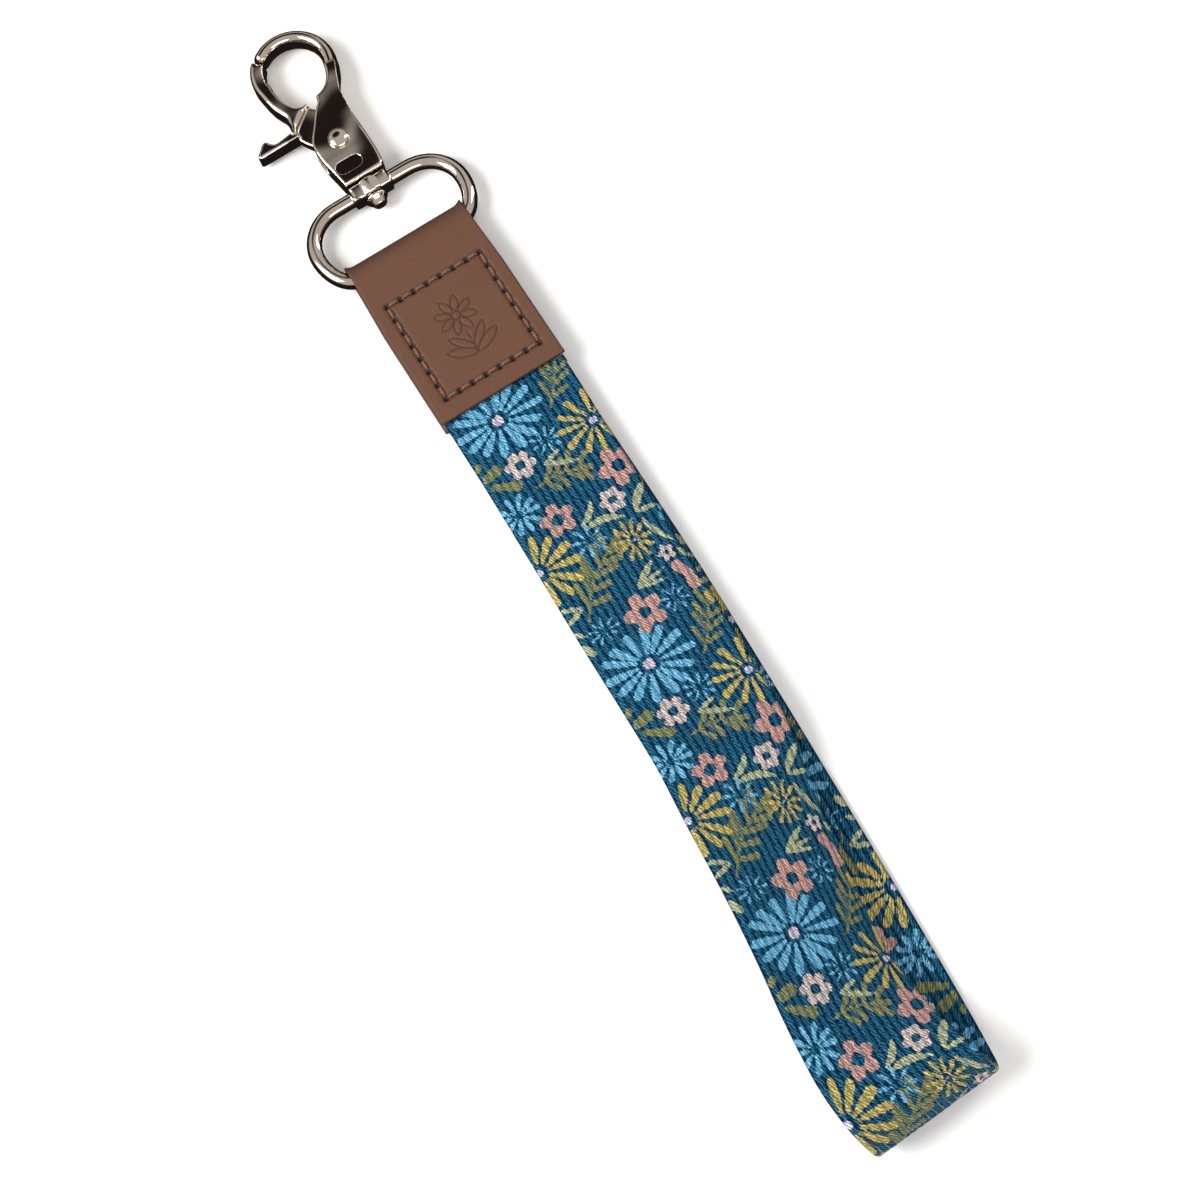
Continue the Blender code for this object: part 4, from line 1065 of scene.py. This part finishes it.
def aim_matrix(look):
    """The camera's place and turn: a tilted view plane whose axis meets the floor at the aim."""
    down = look.tilt_down
    aside = look.tilt_aside
    first = np.array([math.cos(aside), 0.0, -math.sin(aside)])
    second = np.array([0.0, math.cos(down), -math.sin(down)])
    second = unit(second - first * (first @ second))
    normal = -np.cross(first, second)
    strap_x = math.cos(look.roll) * first - math.sin(look.roll) * second
    strap_y = -math.sin(look.roll) * first - math.cos(look.roll) * second
    axes = np.array([strap_x, strap_y, normal])
    backward = -axes[:, 2]
    stand = np.array([look.aim[0], look.aim[1], 0.0]) + backward * look.distance
    return standing(axes[:, 0], -axes[:, 1], backward, stand)


def add_light(name, stand, target, size, power, colour=(1.0, 1.0, 1.0)):
    """A soft square lamp that faces its target."""
    lamp = bpy.data.lights.new(name, "AREA")
    lamp.shape = "RECTANGLE"
    lamp.size = size[0]
    lamp.size_y = size[1]
    lamp.energy = power
    lamp.color = colour
    obj = linked(name, lamp)
    backward = unit(np.array(stand, dtype=float) - np.array(target, dtype=float))
    right = unit(np.cross([0.0, 0.0, 1.0], backward))
    obj.matrix_world = standing(right, np.cross(backward, right), backward, stand)


def build_stage(look):
    """Camera, pale floor, soft lamps and a pale sky, dark at the horizon and over the hook."""
    scene = bpy.context.scene
    camera = bpy.data.cameras.new("camera")
    camera.lens = look.lens
    camera.sensor_width = 36.0
    camera.sensor_fit = "HORIZONTAL"
    camera.clip_start = 0.01
    camera.clip_end = 50.0
    view = linked("camera", camera)
    view.matrix_world = aim_matrix(look)
    scene.camera = view
    mesh = bpy.data.meshes.new("floor")
    corners = ((-1, -1), (1, -1), (1, 1), (-1, 1))
    mesh.from_pydata([(FLOOR_HALF * x, FLOOR_HALF * y, FLOOR_Z) for x, y in corners], [], [(0, 1, 2, 3)])
    floor = linked("floor", mesh)
    material, tree, shader = new_material("pale_floor")
    shader.inputs["Base Color"].default_value = rgba(look.floor_colour)
    shader.inputs["Roughness"].default_value = 0.9
    shader.inputs["Specular IOR Level"].default_value = 0.1
    mesh.materials.append(material)
    floor.visible_glossy = False    # the plating mirrors the dark horizon in its place
    middle = (-0.003, -0.05, 0.005)
    add_light("key", (-0.62, 0.12, 0.62), middle, (0.55, 0.5), look.key_power, (1.0, 0.985, 0.96))
    add_light("near", (0.05, -0.85, 0.62), middle, (0.9, 0.35), look.near_power)
    add_light("right", (0.85, 0.1, 0.5), middle, (0.2, 0.9), look.side_power, (1.0, 0.985, 0.96))
    world = bpy.data.worlds.new("studio")
    scene.world = world
    world.use_nodes = True
    tree = world.node_tree
    sky = tree.nodes["Background"]
    heading = add(tree, "ShaderNodeTexCoord").outputs["Generated"]
    height = add(tree, "ShaderNodeSeparateXYZ", {0: heading}).outputs[2]
    overhead = add(tree, "ShaderNodeVectorMath", {0: heading, 1: look.dark_heading}, operation="DOT_PRODUCT")
    lit = times(tree, ramp(tree, height, 0.12, 0.3),
               minus(tree, 1.0, ramp(tree, overhead.outputs["Value"], 0.93, 0.985)))
    dusk = blend_colour(tree, lit, (0.03, 0.022, 0.022, 1.0), (1.0, 0.96, 0.92, 1.0))
    tree.links.new(dusk, sky.inputs[0])
    sky.inputs[1].default_value = look.sky_strength
    scene.view_settings.view_transform = "Standard"
    scene.view_settings.look = "None"
    scene.view_settings.exposure = 0.0


# ---------------------------------------------------------------- settings and operators

def length_setting(name, default, description):
    """A length that a user may change."""
    return bpy.props.FloatProperty(name=name, description=description, default=default, unit="LENGTH",
                                   precision=5)


def colour_setting(name, default, description):
    """A colour that a user may change."""
    return bpy.props.FloatVectorProperty(name=name, description=description, default=default, subtype="COLOR",
                                         min=0.0, max=1.0)


def angle_setting(name, degrees, description):
    """An angle that a user may change."""
    return bpy.props.FloatProperty(name=name, description=description, default=math.radians(degrees),
                                   subtype="ANGLE")


def share_setting(name, default, description):
    """A share from nought to one that a user may change."""
    return bpy.props.FloatProperty(name=name, description=description, default=default, min=0.0, max=1.0,
                                   subtype="FACTOR")


def power_setting(name, default, description):
    """A lamp's power that a user may change."""
    return bpy.props.FloatProperty(name=name, description=description, default=default, min=0.0, unit="POWER")


class StrapSettings(bpy.types.PropertyGroup):
    """Sizes and inks of the webbing."""
    web_width: length_setting("Width", 25.4 * MM, "Width of the webbing")
    web_thickness: length_setting("Thickness", 1.3 * MM, "Thickness of the webbing")
    rib_pitch: length_setting("Rib pitch", 1.4 * MM, "Distance between two lengthwise ribs")
    strand_pitch: length_setting("Strand pitch", 1.15 * MM, "Distance between two strands along a rib")
    strand_lean: angle_setting("Strand lean", 64.0, "Steepness of the strands")
    # painted shade between the yarns, on the bare ground and on the inks
    bare_shade: colour_setting("Bare shade", (0.02, 0.07, 0.13), "Darkening between unprinted yarns")
    yarn_colour: colour_setting("Yarn", (0.36, 0.37, 0.25), "Undyed yarn that shows at the fold")
    ink_shade: colour_setting("Ink shade", (0.30, 0.36, 0.44), "Darkening between printed yarns")
    ground_colour: colour_setting("Ground", (0.021, 0.152, 0.270), "Colour between the motifs")
    blue_colour: colour_setting("Blue", (0.20, 0.56, 0.80), "Daisies and starbursts")
    yellow_colour: colour_setting("Yellow", (0.660, 0.515, 0.154), "Yellow daisies")
    pink_colour: colour_setting("Pink", (0.706, 0.392, 0.330), "Pink blossoms")
    cream_colour: colour_setting("Cream", (0.800, 0.638, 0.573), "Cream blossoms")
    olive_colour: colour_setting("Olive", (0.28, 0.29, 0.13), "Leafy sprigs")
    pale_colour: colour_setting("Pale leaf", (0.54, 0.56, 0.33), "Pointed leaves")
    centre_colour: colour_setting("Centres", (0.82, 0.68, 0.80), "Centres of the daisies")


class TabSettings(bpy.types.PropertyGroup):
    """Leather and thread."""
    leather_colour: colour_setting("Leather", (0.099, 0.041, 0.0205), "Face of the leather")
    # the darker stamp and rim, and painted shade in the holes, the groove and round the fold
    pressed_and_shade_colour: colour_setting("Pressed", (0.036, 0.014, 0.008), "Leather where it is pressed or folded")
    thread_colour: colour_setting("Thread", (0.185, 0.074, 0.040), "Stitching thread")
    thread_width: length_setting("Thread width", 0.56 * MM, "Width of a stitch")
    thread_lift: length_setting("Thread lift", 0.5 * MM, "How far a stitch bows up from its holes")


class MetalSettings(bpy.types.PropertyGroup):
    """Plating of the ring and hook."""
    plate_colour: colour_setting("Plating", (0.82, 0.73, 0.63), "Light gold plating")
    plate_roughness: share_setting("Roughness", 0.05, "Blur of the plating's reflections")
    spring_colour: colour_setting("Spring", (0.45, 0.45, 0.46), "Spring wire")
    spring_roughness: share_setting("Spring roughness", 0.28, "Blur of the spring's reflections")
    detail: length_setting("Detail", 0.14 * MM, "Smallest detail that the castings keep")


class StageSettings(bpy.types.PropertyGroup):
    """Camera, floor and lamps."""
    lens: bpy.props.FloatProperty(name="Focal length", description="Lens on a 36 mm sensor, in millimetres",
                                  default=81.0, min=10.0, unit="CAMERA")
    tilt_down: angle_setting("Tilt down", 17.5, "Lean of the view towards its foot")
    tilt_aside: angle_setting("Tilt aside", 5.5, "Lean of the view towards its side")
    roll: angle_setting("Roll", 33.2, "Turn of the object in the view")
    distance: length_setting("Distance", 0.49, "From the camera to the aim")
    aim: bpy.props.FloatVectorProperty(name="Aim", description="Where the view's axis meets the floor",
                                       default=(-6.07 * MM, -62.01 * MM), size=2, subtype="XYZ_LENGTH",
                                       unit="LENGTH", precision=5)
    floor_colour: colour_setting("Floor", (0.92, 0.92, 0.92), "Colour of the floor")
    key_power: power_setting("Key power", 11.0, "Watts of the lamp at the left")
    near_power: power_setting("Near power", 4.0, "Watts of the lamp at the loop's end")
    side_power: power_setting("Side power", 2.5, "Watts of the lamp at the right")
    sky_strength: share_setting("Sky strength", 0.52, "Brightness of the sky")
    dark_heading: bpy.props.FloatVectorProperty(name="Dark heading", size=3, subtype="DIRECTION",
                                                description="Middle of the sky's dark part",
                                                default=(0.05, 0.66, 0.75))


class WRISTLET_OT_stage(bpy.types.Operator):
    """Set the camera, the floor and the lamps"""
    bl_idname = "wristlet.stage"
    bl_label = "Stage"

    def execute(self, context):
        build_stage(context.scene.wristlet_stage)
        return {"FINISHED"}


class WRISTLET_OT_webbing(bpy.types.Operator):
    """Build the printed webbing strap"""
    bl_idname = "wristlet.webbing"
    bl_label = "Webbing"

    def execute(self, context):
        build_webbing(context.scene.wristlet_strap)
        return {"FINISHED"}


class WRISTLET_OT_leather(bpy.types.Operator):
    """Build the folded leather tab"""
    bl_idname = "wristlet.leather"
    bl_label = "Leather tab"

    def execute(self, context):
        build_leather(context.scene.wristlet_tab)
        return {"FINISHED"}


class WRISTLET_OT_stitches(bpy.types.Operator):
    """Build the stitches in front and behind"""
    bl_idname = "wristlet.stitches"
    bl_label = "Stitches"

    def execute(self, context):
        look = context.scene.wristlet_tab
        material = thread_material(look)
        build_stitches(look, "needle_thread_stitches", "needle_thread", TAB_THICK, 1.0, material)
        build_stitches(look, "bobbin_thread_stitches", "bobbin_thread", BACK_STITCH_LEVEL, -1.0, material)
        return {"FINISHED"}


class WRISTLET_OT_ring(bpy.types.Operator):
    """Build the oval ring"""
    bl_idname = "wristlet.ring"
    bl_label = "Ring"

    def execute(self, context):
        look = context.scene.wristlet_metal
        build_ring(plating(look), look.detail / MM)
        return {"FINISHED"}


class WRISTLET_OT_hook_body(bpy.types.Operator):
    """Build the hook's casting"""
    bl_idname = "wristlet.hook_body"
    bl_label = "Hook body"

    def execute(self, context):
        look = context.scene.wristlet_metal
        build_hook_body(plating(look), look.detail / MM)
        return {"FINISHED"}


class WRISTLET_OT_gate(bpy.types.Operator):
    """Build the trigger gate"""
    bl_idname = "wristlet.gate"
    bl_label = "Trigger gate"

    def execute(self, context):
        look = context.scene.wristlet_metal
        build_gate(plating(look), look.detail / MM)
        return {"FINISHED"}


class WRISTLET_OT_fastenings(bpy.types.Operator):
    """Build the swivel pin and the pivot rivet"""
    bl_idname = "wristlet.fastenings"
    bl_label = "Pin and rivet"

    def execute(self, context):
        look = context.scene.wristlet_metal
        build_pin(plating(look))
        build_rivet(plating(look))
        return {"FINISHED"}


class WRISTLET_OT_spring(bpy.types.Operator):
    """Give the gate's spring its steel"""
    bl_idname = "wristlet.spring"
    bl_label = "Spring"

    def execute(self, context):
        look = context.scene.wristlet_metal
        steel = metal_material("drawn_spring_steel", look.spring_colour, look.spring_roughness)
        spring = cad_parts["gate_spring"]
        spring.data.materials.clear()
        spring.data.materials.append(steel)
        return {"FINISHED"}


class WRISTLET_PT_panel(bpy.types.Panel):
    """Lists the steps that build the wristlet"""
    bl_label = "Wristlet"
    bl_idname = "WRISTLET_PT_panel"
    bl_space_type = "VIEW_3D"
    bl_region_type = "UI"
    bl_category = "Wristlet"

    def draw(self, context):
        for operator in OPERATORS:
            self.layout.operator(operator.bl_idname)


SETTINGS = (("wristlet_strap", StrapSettings), ("wristlet_tab", TabSettings),
            ("wristlet_metal", MetalSettings), ("wristlet_stage", StageSettings))
OPERATORS = (WRISTLET_OT_stage, WRISTLET_OT_webbing, WRISTLET_OT_leather, WRISTLET_OT_stitches,
             WRISTLET_OT_ring, WRISTLET_OT_hook_body, WRISTLET_OT_gate, WRISTLET_OT_fastenings,
             WRISTLET_OT_spring)


def register():
    """Register the settings, the operators and the panel."""
    for name, settings in SETTINGS:
        bpy.utils.register_class(settings)
        setattr(bpy.types.Scene, name, bpy.props.PointerProperty(type=settings))
    for operator in OPERATORS:
        bpy.utils.register_class(operator)
    bpy.utils.register_class(WRISTLET_PT_panel)


def unregister():
    """Remove the panel, the operators and the settings."""
    bpy.utils.unregister_class(WRISTLET_PT_panel)
    for operator in reversed(OPERATORS):
        bpy.utils.unregister_class(operator)
    for name, settings in reversed(SETTINGS):
        delattr(bpy.types.Scene, name)
        bpy.utils.unregister_class(settings)


def main():
    """Build everything."""
    register()
    bpy.ops.wristlet.stage()
    bpy.ops.wristlet.webbing()
    bpy.ops.wristlet.leather()
    bpy.ops.wristlet.stitches()
    bpy.ops.wristlet.ring()
    bpy.ops.wristlet.hook_body()
    bpy.ops.wristlet.gate()
    bpy.ops.wristlet.fastenings()
    bpy.ops.wristlet.spring()


if __name__ == "__main__":
    main()
